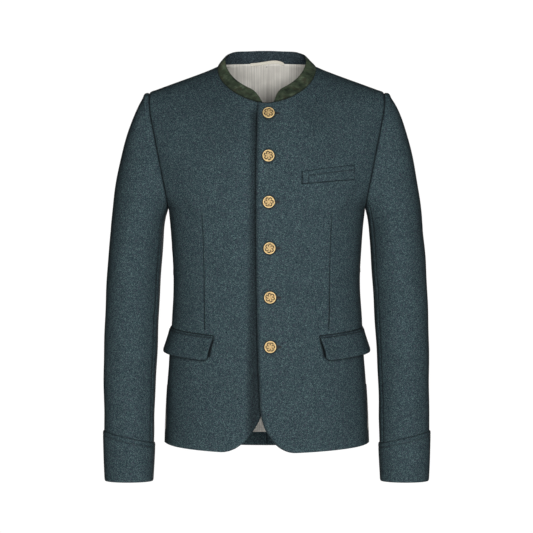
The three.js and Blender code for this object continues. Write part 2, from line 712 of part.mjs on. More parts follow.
const seamOutwards = [
  ...outwards.frontUnder[frontUnder.length - 1].slice(collarStart.right, neckEnd.right + 1).map(mirrorPoint),
  ...outwards.back[back.length - 1].slice(0, neckEnd.back).reverse().map(mirrorPoint),
  ...outwards.back[back.length - 1].slice(1, neckEnd.back),
  ...outwards.frontLeft[frontLeft.length - 1].slice(collarStart.left, neckEnd.left + 1).reverse(),
];
collarLayer('collar_outer', 0, COLLAR_WALL, 'collar');
collarLayer('collar_inner', COLLAR_WALL + LAYER_GAP, COLLAR_WALL, 'cloth');

// Back lining in one piece, hung from the neck seam behind both back halves
const liningRows = back
  .map((row, r) => ({ row, normals: outwards.back[r], fromTop: back.length - 1 - r }))
  .filter(({ row, fromTop }) => row[0].z > LINING_HEM_Z && fromTop % 2 === 0);
function liningGrid(distance) {
  return liningRows.map(({ row, normals }) => {
    const half = row.map((p, c) => {
      const out = c === 0 ? flattened(normals[c], 'x') : normals[c];
      return p.clone().addScaledVector(out, -distance);
    });
    const kept = half.slice(0, -1);
    const edge = half[half.length - 2].clone().lerp(half[half.length - 1], 0.5);
    kept.push(edge);
    return [...kept.slice(1).reverse().map(mirrorPoint), ...kept];
  });
}
addPiece('back_lining', wallGeometry(
  trimmed(liningGrid(CLOTH_WALL + LINING_EASE), 'top', LINING_NECK_INSET),
  trimmed(liningGrid(CLOTH_WALL + LINING_EASE + LINING_WALL), 'top', LINING_NECK_INSET),
), 'lining');

// Hanger loop: a short tape sewn in at the neck seam and bowed up between its ends
function loopGrid(distance) {
  return [0, 1].map((edge) => Array.from({ length: LOOP.steps + 1 }, (_, i) => {
    const share = i / LOOP.steps;
    const bow = Math.sin(share * Math.PI);
    const x = lerp(LOOP.from, LOOP.to, share);
    const z = LOOP.foot + LOOP.rise * bow + edge * LOOP.width;
    return new THREE.Vector3(x, LOOP.y - LOOP.standoff * bow - distance, z);
  }));
}
addPiece('hanger_loop', wallGeometry(loopGrid(0), loopGrid(LOOP.wall)), 'tape');

// Grid of a piece's rows and columns, each point made from its shares of the way along both
function pointGrid({ rows, columns }, pointAt) {
  return Array.from({ length: rows + 1 }, (_, row) =>
    Array.from({ length: columns + 1 }, (__, column) =>
      pointAt(row / rows, column / columns, column)));
}

// A point on the front and the direction out of it
function onFront(x, z, distance) {
  const step = 1;
  const point = surfacePoint(x, z, 'front');
  const across = surfacePoint(x + step, z, 'front').sub(surfacePoint(x - step, z, 'front'));
  const up = surfacePoint(x, z + step, 'front').sub(surfacePoint(x, z - step, 'front'));
  const out = across.cross(up).normalize();
  return { point: point.addScaledVector(out, distance), out };
}

// Chest pocket welt on the wearer's left
function weltGrid(distance) {
  return pointGrid(WELT, (up, along) => {
    const x = lerp(WELT.innerX, WELT.outerX, along);
    const top = lerp(WELT.innerTop, WELT.outerTop, along);
    const bottom = lerp(WELT.innerBottom, WELT.outerBottom, along);
    return onFront(x, lerp(bottom, top, up), distance).point;
  });
}
addPiece('chest_welt', wallGeometry(weltGrid(LAYER_GAP + WELT.wall), weltGrid(LAYER_GAP)), 'cloth');

// Hip flaps, hung from their top edge and standing off a little below
function flapGrid(distance) {
  return pointGrid(FLAP, (fromTop, along, column) => {
    const down = fromTop * (FLAP.roundedEnd[column] ?? 1);
    const start = lerp(FLAP.topStart, FLAP.bottomStart, down);
    const turn = radians(lerp(start, FLAP.end, along));
    const z = lerp(FLAP.innerTop, FLAP.outerTop, along) - FLAP.height * down;
    const x = closingWidth(z) * Math.sin(turn);
    const stand = down ** FLAP.standPower * lerp(FLAP.standFront, FLAP.standSide, along ** 2);
    return onFront(x, z, distance + stand).point;
  });
}
const flapOuter = flapGrid(LAYER_GAP + FLAP.wall);
const flapInner = flapGrid(LAYER_GAP);
addPiece('flap_left', wallGeometry(flapOuter, flapInner), 'cloth');
addPiece('flap_right', wallGeometry(mirrored(flapOuter), mirrored(flapInner)), 'cloth');

// Brass buttons, each turned to face straight out of the cloth it stands on
const buttonProfile = [
  { r: BUTTON.shank, z: LAYER_GAP },
  { r: BUTTON.shank, z: BUTTON.standoff },
  { r: BUTTON.radius * 0.95, z: BUTTON.standoff + 0.2 },
  { r: BUTTON.radius, z: BUTTON.standoff + 0.8 },
  { r: BUTTON.radius, z: BUTTON.standoff + BUTTON.rim - 0.4 },
  { r: BUTTON.radius * 0.9, z: BUTTON.standoff + BUTTON.rim },
  { r: BUTTON.radius * 0.5, z: BUTTON.standoff + BUTTON.dome - 0.4 },
];
const buttonGeometry = turnedGeometry(buttonProfile, BUTTON_SIDES);
BUTTON_PLACES.forEach(({ x, z }, i) => {
  const seat = onFront(x, z, 0);
  const button = addPiece(`button_${i + 1}`, buttonGeometry, 'brass');
  button.position.copy(seat.point);
  button.quaternion.setFromUnitVectors(new THREE.Vector3(0, 0, 1), seat.out);
});

export default jacket;
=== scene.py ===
"""Trachten jacket: milled wool, a suede stand-up collar and brass buttons, filled out as worn.

Every cloth piece is a surface of two parameters worked out with numpy, then given its seams,
folds and thickness. Many named sizes are those of the part's solids, and some are this
script's own. Lengths are in metres.
"""
import logging
import math
from collections.abc import Callable, Sequence
from dataclasses import dataclass, field, replace
from enum import Enum

import bmesh
import bpy
import numpy as np
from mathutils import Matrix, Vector

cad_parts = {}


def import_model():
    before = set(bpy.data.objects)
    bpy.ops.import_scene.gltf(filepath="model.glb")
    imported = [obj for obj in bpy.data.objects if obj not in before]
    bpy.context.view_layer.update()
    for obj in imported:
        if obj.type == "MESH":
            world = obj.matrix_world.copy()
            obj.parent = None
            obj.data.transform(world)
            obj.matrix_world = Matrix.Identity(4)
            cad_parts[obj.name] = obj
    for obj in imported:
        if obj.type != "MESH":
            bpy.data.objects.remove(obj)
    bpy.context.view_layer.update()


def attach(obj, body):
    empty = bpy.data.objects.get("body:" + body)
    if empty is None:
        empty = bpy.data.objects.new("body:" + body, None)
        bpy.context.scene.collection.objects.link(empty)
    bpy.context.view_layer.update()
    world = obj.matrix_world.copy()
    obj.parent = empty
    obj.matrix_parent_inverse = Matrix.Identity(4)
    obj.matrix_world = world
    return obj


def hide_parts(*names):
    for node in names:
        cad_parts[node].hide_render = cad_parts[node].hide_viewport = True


MM = 0.001
LEAST_CUT = 10.2 * MM
MIRROR = np.array([-1.0, 1.0, 1.0])
LOG = logging.getLogger("jacket")

Array = np.ndarray
Curve = Callable[[Array], Array]
NodeTree = bpy.types.NodeTree
Socket = bpy.types.NodeSocket


class Side(Enum):
    """Half of the body that a panel belongs to."""

    FRONT = "front"
    BACK = "back"


class Hand(Enum):
    """Wearer's side, as the sign of X."""

    LEFT = 1.0
    RIGHT = -1.0

    @property
    def word(self) -> str:
        """Lower-case word for piece names."""
        return self.name.lower()


class Border(Enum):
    """Border of a grid of rows and columns."""

    BOTTOM = "bottom"
    TOP = "top"
    FIRST = "first"
    LAST = "last"


# Half width and depths of the body at each height, in millimetres
BODY_LEVELS = (
    # height, half width, front depth, back depth
    (-700, 181.5, 124, 129),
    (-662, 180.5, 123, 128),
    (-591, 178, 121, 125),
    (-520, 173.5, 118, 120),
    (-449, 169, 116, 114),
    (-377, 165.5, 117, 112),
    (-324, 168, 122, 117),
    (-251, 174.5, 130, 127),
    (-150, 190, 130, 131),
    (-60, 206, 121, 124),
    (40, 214, 112, 114),
)

# Front view of the armhole seam: height, distance from the middle
ARMHOLE_SEAM = (
    (-300, 168),
    (-251, 174.5),
    (-193, 183),
    (-124, 192),
    (-95, 197.5),
    (-68, 204),
    (-44, 209),
    (-20, 213),
)

# Edge of the front that lies on top: height, place
LEFT_FRONT_EDGE = (
    (-590, -11.3),
    (-533, -13.9),
    (-394, -17.2),
    (-168, -18),
    (-60, -15.6),
)

# Sleeve sections: height, inner side, outer side, middle, half depth
SLEEVE_LEVELS = (
    (-290, 182.5, 278, 4, 72),
    (-342, 186, 282.8, 4, 68),
    (-413, 190.5, 286.6, 3, 62),
    (-502, 195, 289, -1, 57),
    (-591, 198.5, 289, -9, 53),
    (-662, 199.8, 288, -17, 50),
    (-740, 203.2, 284.6, -26, 48),
)

# Front dart: height, place
DART_LINE = (
    (-466, 108.5),
    (-390, 110),
    (-300, 112),
    (-247, 115),
)

# Buttons: place, height
BUTTON_PLACES = (
    (3.1, -86),
    (2.8, -161),
    (3.5, -241),
    (4.7, -321),
    (5.7, -407),
    (6.1, -493),
)


def mix(first: Array, second: Array, share: Array) -> Array:
    """Straight blend from first to second by share."""
    return first + (second - first) * share


def ease(value: Array, low: float, high: float) -> Array:
    """Smooth step from 0 at low to 1 at high."""
    share = np.clip((value - low) / (high - low), 0.0, 1.0)
    return share * share * (3.0 - 2.0 * share)


def bump(distance: Array, width: float) -> Array:
    """Bell of height 1 at distance 0, which falls to 1/e at width."""
    return np.exp(-((distance / width) ** 2))


def table_curve(table: Sequence[Sequence[float]], column: int) -> Curve:
    """Smooth curve through one column of a table, read by height.

    The curve is a cubic between neighbouring rows whose slope at each row is that of the
    straight line between the rows on both sides of it.

    Args:
        table: rows in millimetres, each starting with its height.
        column: index of the column to read.

    Returns:
        A function from heights in metres to values in metres.
    """
    rows = np.array(sorted(table), dtype=float) * MM
    heights, values = rows[:, 0], rows[:, column]
    low = np.maximum(np.arange(len(rows)) - 1, 0)
    high = np.minimum(np.arange(len(rows)) + 1, len(rows) - 1)
    slopes = (values[high] - values[low]) / (heights[high] - heights[low])

    def read(z: Array) -> Array:
        """Values of the curve at heights, held level beyond its ends."""
        clipped = np.clip(z, heights[0], heights[-1])
        i = np.clip(np.searchsorted(heights, clipped, side="left") - 1, 0, len(rows) - 2)
        span = heights[i + 1] - heights[i]
        t = (clipped - heights[i]) / span
        rise = values[i + 1] - values[i]
        first, last = slopes[i] * span, slopes[i + 1] * span
        square, cube = 3 * rise - 2 * first - last, first + last - 2 * rise
        return values[i] + first * t + square * t**2 + cube * t**3

    return read


@dataclass(frozen=True)
class BodyForm:
    """Form of the closed body, as depths behind each point of the front view."""

    neck_half_width: float = 88 * MM
    neck_side_z: float = 1.5 * MM
    front_neck_drop: float = 67.5 * MM
    back_neck_rise: float = 8.5 * MM
    neck_roundness: float = 1.6
    shoulder_slope: float = 0.375
    shoulder_tip_x: float = 209 * MM
    trapezius_height: float = 16 * MM
    trapezius_centre: float = 40 * MM
    trapezius_spread: float = 30 * MM
    front_roll: float = 230 * MM
    front_power: float = 0.62
    back_roll: float = 190 * MM
    back_power: float = 0.55
    end_power: float = 0.4
    end_from: float = 110 * MM
    underarm_z: float = -251 * MM
    armhole_setback: float = 30 * MM
    armhole_setback_rise: float = 60 * MM
    roundness: float = 2.3
    half_width: Curve = field(default_factory=lambda: table_curve(BODY_LEVELS, 1))
    front_depth: Curve = field(default_factory=lambda: table_curve(BODY_LEVELS, 2))
    back_depth: Curve = field(default_factory=lambda: table_curve(BODY_LEVELS, 3))
    armhole_x: Curve = field(default_factory=lambda: table_curve(ARMHOLE_SEAM, 1))

    def ridge_z(self, x: Array) -> Array:
        """Height of the shoulder ridge: a straight slope and a bell beside the neck."""
        across = np.abs(x)
        bell = self.trapezius_height * bump(across - self.trapezius_centre, self.trapezius_spread)
        return self.neck_side_z + self.shoulder_slope * (self.neck_half_width - across) + bell

    def closing_width(self, z: Array) -> Array:
        """Half width at which a section closes, set out from the armhole above the underarm."""
        above = np.maximum(z - self.underarm_z, 0.0)
        setback = self.armhole_setback * (1 - np.exp(-above / self.armhole_setback_rise))
        return np.where(z > self.underarm_z, self.armhole_x(z) + setback, self.half_width(z))

    def depth(self, x: Array, z: Array, side: Side) -> Array:
        """Distance of the surface from the middle plane.

        The depth of the level, times a superellipse across it, times a rounded fall from the
        shoulder ridge.

        Args:
            x: distances from the middle.
            z: heights.
            side: front or back.

        Returns:
            Distances, of the shape of x and z together.
        """
        front = side is Side.FRONT
        share = np.minimum(np.abs(x) / self.closing_width(z), 1.0)
        across = (1 - share**self.roundness) ** (1 / self.roundness)
        roll = self.front_roll if front else self.back_roll
        power = self.front_power if front else self.back_power
        fall = np.clip((self.ridge_z(x) - z) / roll, 0.0, 1.0)
        outward = ease(np.abs(x), self.end_from, self.shoulder_tip_x)
        rounded = (1 - (1 - fall) ** 2) ** mix(power, self.end_power, outward)
        level = self.front_depth(z) if front else self.back_depth(z)
        return level * across * rounded

    def point(self, x: Array, z: Array, side: Side) -> Array:
        """Surface points behind points of the front view, as an array ending in x, y, z."""
        x, z = np.broadcast_arrays(x, z)
        forward = -1.0 if side is Side.FRONT else 1.0
        return np.stack([x, forward * self.depth(x, z, side), z], axis=-1)

    def out_of_front(self, x: Array, z: Array) -> Array:
        """Unit directions out of the front at points of the front view."""
        step = 1 * MM
        across = self.point(x + step, z, Side.FRONT) - self.point(x - step, z, Side.FRONT)
        up = self.point(x, z + step, Side.FRONT) - self.point(x, z - step, Side.FRONT)
        return unit(np.cross(across, up))

    def normals(self, grid: Array, side: Side) -> Array:
        """Unit directions out of the body at the points of a panel's grid.

        They come from differences of the formula, and near the side, where it closes, from
        differences of the grid.
        """
        x, z = grid[..., 0], grid[..., 2]
        step = 1 * MM
        across = self.point(x + step, z, side) - self.point(x - step, z, side)
        up = self.point(x, z + step, side) - self.point(x, z - step, side)
        out = unit(np.cross(across, up)) * (1.0 if side is Side.FRONT else -1.0)
        near_side = ease(np.abs(x) / self.closing_width(z), 0.9, 0.96)[..., None]
        return unit(mix(out, grid_normals(grid), near_side))

    def top_z(self, x: Array, side: Side) -> Array:
        """Top of a panel: the neck cut, a superellipse, then the shoulder seam on the ridge."""
        share = np.minimum(np.abs(x) / self.neck_half_width, 1.0)
        cut = np.sqrt(1 - share**self.neck_roundness)
        if side is Side.FRONT:
            neck = self.neck_side_z - self.front_neck_drop * cut
        else:
            neck = self.neck_side_z + self.back_neck_rise * cut
        return np.where(np.abs(x) >= self.neck_half_width, self.ridge_z(x), neck)


def unit(vectors: Array) -> Array:
    """Vectors scaled to length 1 along the last axis."""
    return vectors / np.maximum(np.linalg.norm(vectors, axis=-1, keepdims=True), 1e-12)


def grid_normals(grid: Array, wrapped: bool = False) -> Array:
    """Unit normals of a grid: the cross product of its differences across and up.

    Args:
        grid: points, rows by columns by 3.
        wrapped: whether the last column joins the first.

    Returns:
        Unit vectors of the same shape.
    """
    if wrapped:
        across = np.roll(grid, -1, axis=1) - np.roll(grid, 1, axis=1)
    else:
        across = np.gradient(grid, axis=1)
    return unit(np.cross(across, np.gradient(grid, axis=0)))


def along(grid: Array, axis: int) -> Array:
    """Length run from the grid's first border to each point, along one axis."""
    steps = np.linalg.norm(np.diff(grid, axis=axis), axis=-1)
    pad = [(0, 0), (0, 0)]
    pad[axis] = (1, 0)
    return np.pad(np.cumsum(steps, axis=axis), pad)


def border_distance(grid: Array, border: Border) -> Array:
    """Length run along rows or columns from a border to each point."""
    axis = 0 if border in (Border.BOTTOM, Border.TOP) else 1
    run = along(grid, axis)
    if border in (Border.TOP, Border.LAST):
        run = np.take(run, [-1], axis=axis) - run
    return run


def line_run(line: Array) -> Array:
    """Length run from a line's first point to each of its points."""
    return np.concatenate([[0], np.cumsum(np.linalg.norm(np.diff(line, axis=0), axis=-1))])


def end_distance(grid: Array) -> Array:
    """Length run along rows to the nearer of the first and last border."""
    return np.minimum(border_distance(grid, Border.FIRST), border_distance(grid, Border.LAST))


def evenly_spaced(line: Array, spacing: float) -> Array:
    """The same line with its points a given length apart."""
    run = line_run(line)
    places = np.linspace(0, run[-1], round(run[-1] / spacing))
    return np.stack([np.interp(places, run, line[:, i]) for i in range(line.shape[1])], axis=-1)


def eased_line(line: Array, passes: int) -> Array:
    """The same line with every inner point moved halfway to its neighbours' middle, several times."""
    eased = line.copy()
    for _ in range(passes):
        eased[1:-1] = 0.5 * eased[1:-1] + 0.25 * (eased[:-2] + eased[2:])
    return eased


def finer(values: Array, centres: Sequence[float], offsets: Sequence[float]) -> Array:
    """Sorted values with extra ones at each offset from each centre, clipped to the range."""
    extra = (np.array(centres)[:, None] + np.array(offsets)[None, :]).ravel()
    extra = extra[(extra >= values.min()) & (extra <= values.max())]
    merged = np.sort(np.concatenate([values, extra]))
    keep = np.concatenate([[True], np.diff(merged) > 1e-5])
    keep[-1] = True
    return merged[keep]


@dataclass(frozen=True)
class Fold:
    """A soft ridge or trough drawn on a piece.

    Attributes:
        across: place across the piece, in metres.
        z: height of its middle.
        turn: angle of its length from level, in degrees.
        length: half length, in metres.
        width: half width, in metres.
        height: height of the ridge, negative for a trough, in metres.
    """

    across: float
    z: float
    turn: float
    length: float
    width: float
    height: float


def fold_height(folds: Sequence[Fold], across: Array, z: Array) -> Array:
    """Sum of folds: each a bell across its width, flat-topped along its length."""
    total = np.zeros(np.broadcast(across, z).shape)
    for fold in folds:
        turn = math.radians(fold.turn)
        run = (across - fold.across) * math.cos(turn) + (z - fold.z) * math.sin(turn)
        off = -(across - fold.across) * math.sin(turn) + (z - fold.z) * math.cos(turn)
        total += fold.height * np.exp(-((run / fold.length) ** 4)) * bump(off, fold.width)
    return total


def uneven(across: Array, z: Array, seed: float, height: float) -> Array:
    """Gentle unevenness of hanging cloth: three crossing waves of about 60 to 200 mm."""
    return height * (
        np.sin(across * 31 + z * 12 + seed) * np.sin(z * 19 - across * 7 + 2.1 * seed)
        + 0.6 * np.sin(across * 57 - z * 23 + 3.7 * seed)
        + 0.4 * np.sin(z * 71 + across * 35 + 1.3 * seed)
    )


@dataclass
class Wall:
    """A cloth wall.

    Attributes:
        grid: points of its outer side, rows by columns by 3.
        out: directions out of it.
        thickness: thickness of the cloth.
        wrapped: whether its last column joins the first.
        pressed: share from 0 to 1 of painted shade in seams, grooves and beside lapped edges and pockets,
            rows by columns.
        rim_pressed: the same painted shade for its cut edge.
    """

    grid: Array
    out: Array
    thickness: float
    wrapped: bool = False
    pressed: Array | None = None
    rim_pressed: float = 0.0

    def raised(self, height: Array) -> "Wall":
        """The same wall with its outer grid moved out by height."""
        return replace(self, grid=self.grid + self.out * height[..., None])

    def mirrored(self) -> "Wall":
        """The wall on the other side of the body, its columns turned round to keep it facing out."""
        pressed = None if self.pressed is None else self.pressed[:, ::-1]
        grid, out = self.grid[:, ::-1] * MIRROR, self.out[:, ::-1] * MIRROR
        return replace(self, grid=grid, out=out, pressed=pressed)

    def cut_size(self) -> tuple[float, float]:
        """Greatest length across and up the outer grid, as the cloth was cut."""
        return float(along(self.grid, 1)[:, -1].max()), float(along(self.grid, 0)[-1].max())


def wall_object(name: str, wall: Wall) -> bpy.types.Object:
    """Closed mesh of a wall with a half-round rim.

    The inner grid lies one thickness behind the outer one. Along each free border the rim runs
    between them on a half circle, whose middle stands out by half the thickness.

    Args:
        name: name of the piece.
        wall: the wall to build.

    Returns:
        The linked object, shaded smooth, with a UV map in metres of cloth.
    """
    rows, columns = wall.grid.shape[:2]
    inner = wall.grid - wall.out * wall.thickness
    index = np.arange(rows * columns).reshape(rows, columns)
    faces = [grid_faces(index, wall.wrapped), grid_faces(index, wall.wrapped)[:, ::-1] + index.size]
    points = [wall.grid.reshape(-1, 3), inner.reshape(-1, 3)]
    run_across, run_up = along(wall.grid, 1).ravel(), along(wall.grid, 0).ravel()
    uv = np.stack([run_across, run_up], axis=-1)
    uvs = [uv, uv]
    # Painted shade per vertex: the wall's share on its outer side, none inside, and at least the rim's share
    # on the cut edge.
    pressed = np.zeros(index.size) if wall.pressed is None else np.clip(wall.pressed, 0, 1).ravel()
    shades = [pressed, np.zeros(index.size)]
    for loop in border_loops(index, wall.wrapped):
        flat = wall.grid.reshape(-1, 3)
        front = flat[loop]
        behind = inner.reshape(-1, 3)[loop]
        inside = flat[next_inside(loop, index)]
        away = unit(front - inside)
        ids = [loop]
        start = sum(len(p) for p in points)
        for turn in (math.pi / 4, math.pi / 2, 3 * math.pi / 4):
            middle = mix(front, behind, (1 - math.cos(turn)) / 2)
            points.append(middle + away * wall.thickness * 0.5 * math.sin(turn))
            uvs.append(uv[loop])
            shades.append(np.maximum(pressed[loop], wall.rim_pressed))
            ids.append(start + np.arange(len(loop)))
            start += len(loop)
        ids.append(loop + index.size)
        ring = np.stack(ids)
        faces.append(grid_faces(ring, True)[:, ::-1])
    piece = mesh_object(name, np.concatenate(points), np.concatenate(faces), np.concatenate(uvs))
    write_attribute(piece, "pressed", np.concatenate(shades))
    return piece


def write_attribute(piece: bpy.types.Object, name: str, values: Array) -> None:
    """Store one number for each vertex."""
    piece.data.attributes.new(name, "FLOAT", "POINT").data.foreach_set("value", values.astype(np.float32))


def grid_faces(index: Array, wrapped: bool) -> Array:
    """Quads of a grid of vertex numbers, turned so that across times up faces out."""
    if wrapped:
        index = np.concatenate([index, index[:, :1]], axis=1)
    corners = [index[:-1, :-1], index[:-1, 1:], index[1:, 1:], index[1:, :-1]]
    return np.stack(corners, axis=-1).reshape(-1, 4)


def border_loops(index: Array, wrapped: bool) -> list[Array]:
    """Closed loops of border vertices: one round a sheet, two on a tube."""
    if wrapped:
        return [index[0], index[-1, ::-1]]
    return [np.concatenate([index[0, :-1], index[:-1, -1], index[-1, :0:-1], index[:0:-1, 0]])]


def next_inside(loop: Array, index: Array) -> Array:
    """For each border vertex, the neighbour one row and column further in."""
    rows, columns = index.shape
    row, column = loop // columns, loop % columns
    row = np.where(row == 0, 1, np.where(row == rows - 1, rows - 2, row))
    on_tube = len(loop) == columns
    inner_column = np.where(column == 0, 1, np.where(column == columns - 1, columns - 2, column))
    return row * columns + (column if on_tube else inner_column)


def mesh_object(name: str, points: Array, quads: Array, uv: Array | None = None) -> bpy.types.Object:
    """Object with a smooth mesh of quads, written with foreach_set.

    Args:
        name: name of the piece.
        points: vertices by 3.
        quads: faces by 4 vertex numbers.
        uv: vertices by 2 texture places, or None.

    Returns:
        The object, linked to the scene.
    """
    mesh = bpy.data.meshes.new(name)
    mesh.vertices.add(len(points))
    mesh.vertices.foreach_set("co", points.astype(np.float32).ravel())
    mesh.loops.add(quads.size)
    mesh.loops.foreach_set("vertex_index", quads.astype(np.int32).ravel())
    mesh.polygons.add(len(quads))
    mesh.polygons.foreach_set("loop_start", np.arange(0, quads.size, 4, dtype=np.int32))
    mesh.polygons.foreach_set("use_smooth", np.ones(len(quads), dtype=bool))
    mesh.update(calc_edges=True)
    mesh.validate()
    if uv is not None:
        layer = mesh.uv_layers.new(name="cloth")
        layer.data.foreach_set("uv", uv[quads.ravel()].astype(np.float32).ravel())
    piece = bpy.data.objects.new(name, mesh)
    bpy.context.scene.collection.objects.link(piece)
    return piece


def dress(piece: bpy.types.Object, material: bpy.types.Material, node: str | None = None) -> None:
    """Give a piece its material and its body, and hide the CAD node that it stands for, if any.

    Args:
        piece: the piece.
        material: material of the whole piece.
        node: name of the CAD node that the piece replaces.
    """
    piece.data.materials.append(material)
    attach(piece, "root")
    if node:
        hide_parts(node)
    LOG.info("%s: %d faces", piece.name, len(piece.data.polygons))


def declare_sheet(wall: Wall) -> None:
    width, length = (max(size, LEAST_CUT) for size in wall.cut_size())


# The cut of the body


@dataclass(frozen=True)
class Corner:
    """Rounded lower corner of a front."""

    width: float
    height: float


@dataclass(frozen=True)
class Dart:
    """Shaping seam of a front: heights of its ends and places at them and between."""

    top: float
    bottom: float
    places: Curve
    depth: float = 1.3 * MM
    width: float = 0.9 * MM


SEWN_ROLL = 2.2 * MM
SEWN_LINE = 1.0 * MM
# Share of painted shade along a sewn seam.
SEWN_SHADE = 0.9


def seam_roll(distance: Array, depth: float = SEWN_ROLL) -> Array:
    """Dip of cloth toward a sewn seam, with a low swelling beside it."""
    return -depth * np.exp(-((distance / (1.5 * MM)) ** 1.3)) + 0.4 * MM * bump(distance - 7 * MM, 4 * MM)


@dataclass
class Panel:
    """One body panel on the wearer's left, hem to neck and shoulder."""

    form: BodyForm
    side: Side
    edge: Curve
    first_top: float
    corner: Corner | None = None
    dart: Dart | None = None
    hem_z: float = -678 * MM
    side_lift: float = 10 * MM
    corner_lift: float = 3 * MM
    lift_reach: float = 120 * MM
    columns: int = 88
    rows_below: int = 108
    rows_above: int = 80
    flap_edge: tuple[float, float] = (102 * MM, -500 * MM)
    buttons_z: float = -300 * MM
    buttons_reach: float = 13

    def top_places(self) -> Array:
        """Distances from the middle of the columns at their top.

        They are finer at the neck side, the armhole and the edge, and on a front also at the
        dart, the flap's front edge and the buttons.
        """
        form = self.form
        places = np.linspace(self.first_top, form.shoulder_tip_x, self.columns)
        beside_neck = np.array([-4, -2.6, -1.6, -1, -0.6, -0.35, -0.18, -0.08, -0.03, 0]) * MM
        beside_seam = -np.array([0.2, 0.5, 0.9, 1.4, 2, 3, 4.5]) * MM
        inside_edge = np.array([0.6, 1.4, 3]) * MM
        places = finer(places, [form.neck_half_width], beside_neck)
        places = finer(places, [form.shoulder_tip_x], beside_seam)
        places = finer(places, [self.first_top], inside_edge)
        if self.dart:
            beside_dart = np.array([-3, -1.9, -1.2, -0.7, -0.3, 0, 0.3, 0.7, 1.2, 1.9, 3]) * MM
            places = finer(places, [self.dart_column()], beside_dart * 1.35)
            beside_flap = np.linspace(-9, 11, 16) * MM
            places = finer(places, [self.column_at(*self.flap_edge)], beside_flap)
            round_buttons = np.linspace(-self.buttons_reach, self.buttons_reach, 18) * MM
            buttons = self.column_at(BUTTON_PLACES[0][0] * MM, self.buttons_z)
            places = finer(places, [buttons], round_buttons)
        return places

    def column_at(self, x: float, z: float) -> float:
        """Top place of the column that passes a point of the front view below the underarm."""
        tops = np.linspace(self.first_top, self.form.shoulder_tip_x, 800)
        return float(np.interp(x, self.below(tops[None, :], np.array([[z]]))[0], tops))

    def dart_column(self) -> float:
        """Top place of the column that follows the dart, found on the row of its middle."""
        z = (self.dart.top + self.dart.bottom) / 2
        return self.column_at(float(self.dart.places(np.array(z))), z)

    def share(self, tops: Array, side_x: Array, z: Array) -> Array:
        """Share of the way from edge to side, spread evenly round the section.

        The top places give an angle as a share of the shoulder tip's own angle. The sine of
        that angle on this row is the share.
        """
        form = self.form
        tip = form.shoulder_tip_x
        top_turn = np.arcsin(tip / form.closing_width(form.ridge_z(tip)))
        turn = np.arcsin(np.minimum(side_x / form.closing_width(z), 1.0))
        even = (tops - self.first_top) / (tip - self.first_top)
        angle = np.arcsin(np.clip(even * np.sin(top_turn), 0, 1)) / top_turn
        return np.sin(angle * turn) / np.sin(turn)

    def below(self, tops: Array, z: Array) -> Array:
        """Distances from the middle of the rows below the underarm, the corner rounded off."""
        side_x = self.form.closing_width(z)
        start = self.edge(z)
        if self.corner:
            up = np.clip((z - self.hem_z) / self.corner.height, 0.0, 1.0)
            start = start + self.corner.width * (1 - np.sqrt(1 - (1 - up) ** 2))
        return mix(start, side_x, self.share(tops, side_x, z))

    def row_heights(self) -> Array:
        """Heights of the rows below the underarm, finer at the hem and, on a front, at the buttons."""
        share = np.linspace(0, 1, self.rows_below + 1)
        z = mix(self.hem_z, self.form.underarm_z, 0.35 * share**2 + 0.65 * share)
        z = finer(z, [self.hem_z], np.array([0.05, 0.2, 0.5, 1, 1.8, 3]) * MM)
        if not self.dart:
            return z
        round_buttons = np.linspace(-self.buttons_reach, self.buttons_reach, 12) * MM
        return finer(z, [place[1] * MM for place in BUTTON_PLACES], round_buttons)

    def grid(self) -> Array:
        """Rows by columns of surface points, from hem to top and from edge to side."""
        form, tops = self.form, self.top_places()[None, :]
        z = self.row_heights()[:, None]
        x = self.below(tops, z)
        if self.dart:
            off = self.dart.places(z) - self.below(np.array([[self.dart_column()]]), z)
            reach = ease(z, self.dart.bottom - 90 * MM, self.dart.bottom)
            x = x + off * reach * bump(x - self.dart.places(z), 45 * MM)
        across = x / form.closing_width(z)
        lift = self.side_lift * across**2 + self.corner_lift * across**14
        lift = lift * ease(self.hem_z + self.lift_reach - z, 0, self.lift_reach)
        lower = form.point(x, z + lift, self.side)
        climb = climb_steps(self.rows_above)[1:, None]
        tip = form.shoulder_tip_x
        side_z = mix(form.underarm_z, form.ridge_z(tip), climb)
        side_x = mix(form.armhole_x(side_z), tip, climb**8)
        z = mix(form.underarm_z, self.neck_or_ridge(tops), climb)
        x = mix(self.edge(z), side_x, self.share(tops, side_x, side_z))
        if self.dart:
            underarm = np.array([[form.underarm_z]])
            off = self.dart.places(z) - self.below(np.array([[self.dart_column()]]), underarm)
            x = x + off * (1 - ease(climb, 0, 0.35)) * bump(x - self.dart.places(z), 45 * MM)
        upper = form.point(mix(x, tops, climb**2), z, self.side)
        grid = np.concatenate([lower, upper])
        return grid if self.side is Side.FRONT else grid[:, ::-1]

    def neck_or_ridge(self, tops: Array) -> Array:
        """Top of each column, the neck cut raised to the shoulder seam over its last few mm."""
        form = self.form
        share = np.minimum(tops / form.neck_half_width, 1.0).clip(0)
        step = form.ridge_z(np.array(form.neck_half_width)) - form.neck_side_z
        cut = form.top_z(tops, self.side)
        return np.where(tops < form.neck_half_width, cut + step * share**40, cut)


def climb_steps(count: int) -> Array:
    """Shares of the height from underarm to shoulder, spread as the sine of half a turn."""
    return (1 - np.cos(np.linspace(0, math.pi, count + 1))) / 2


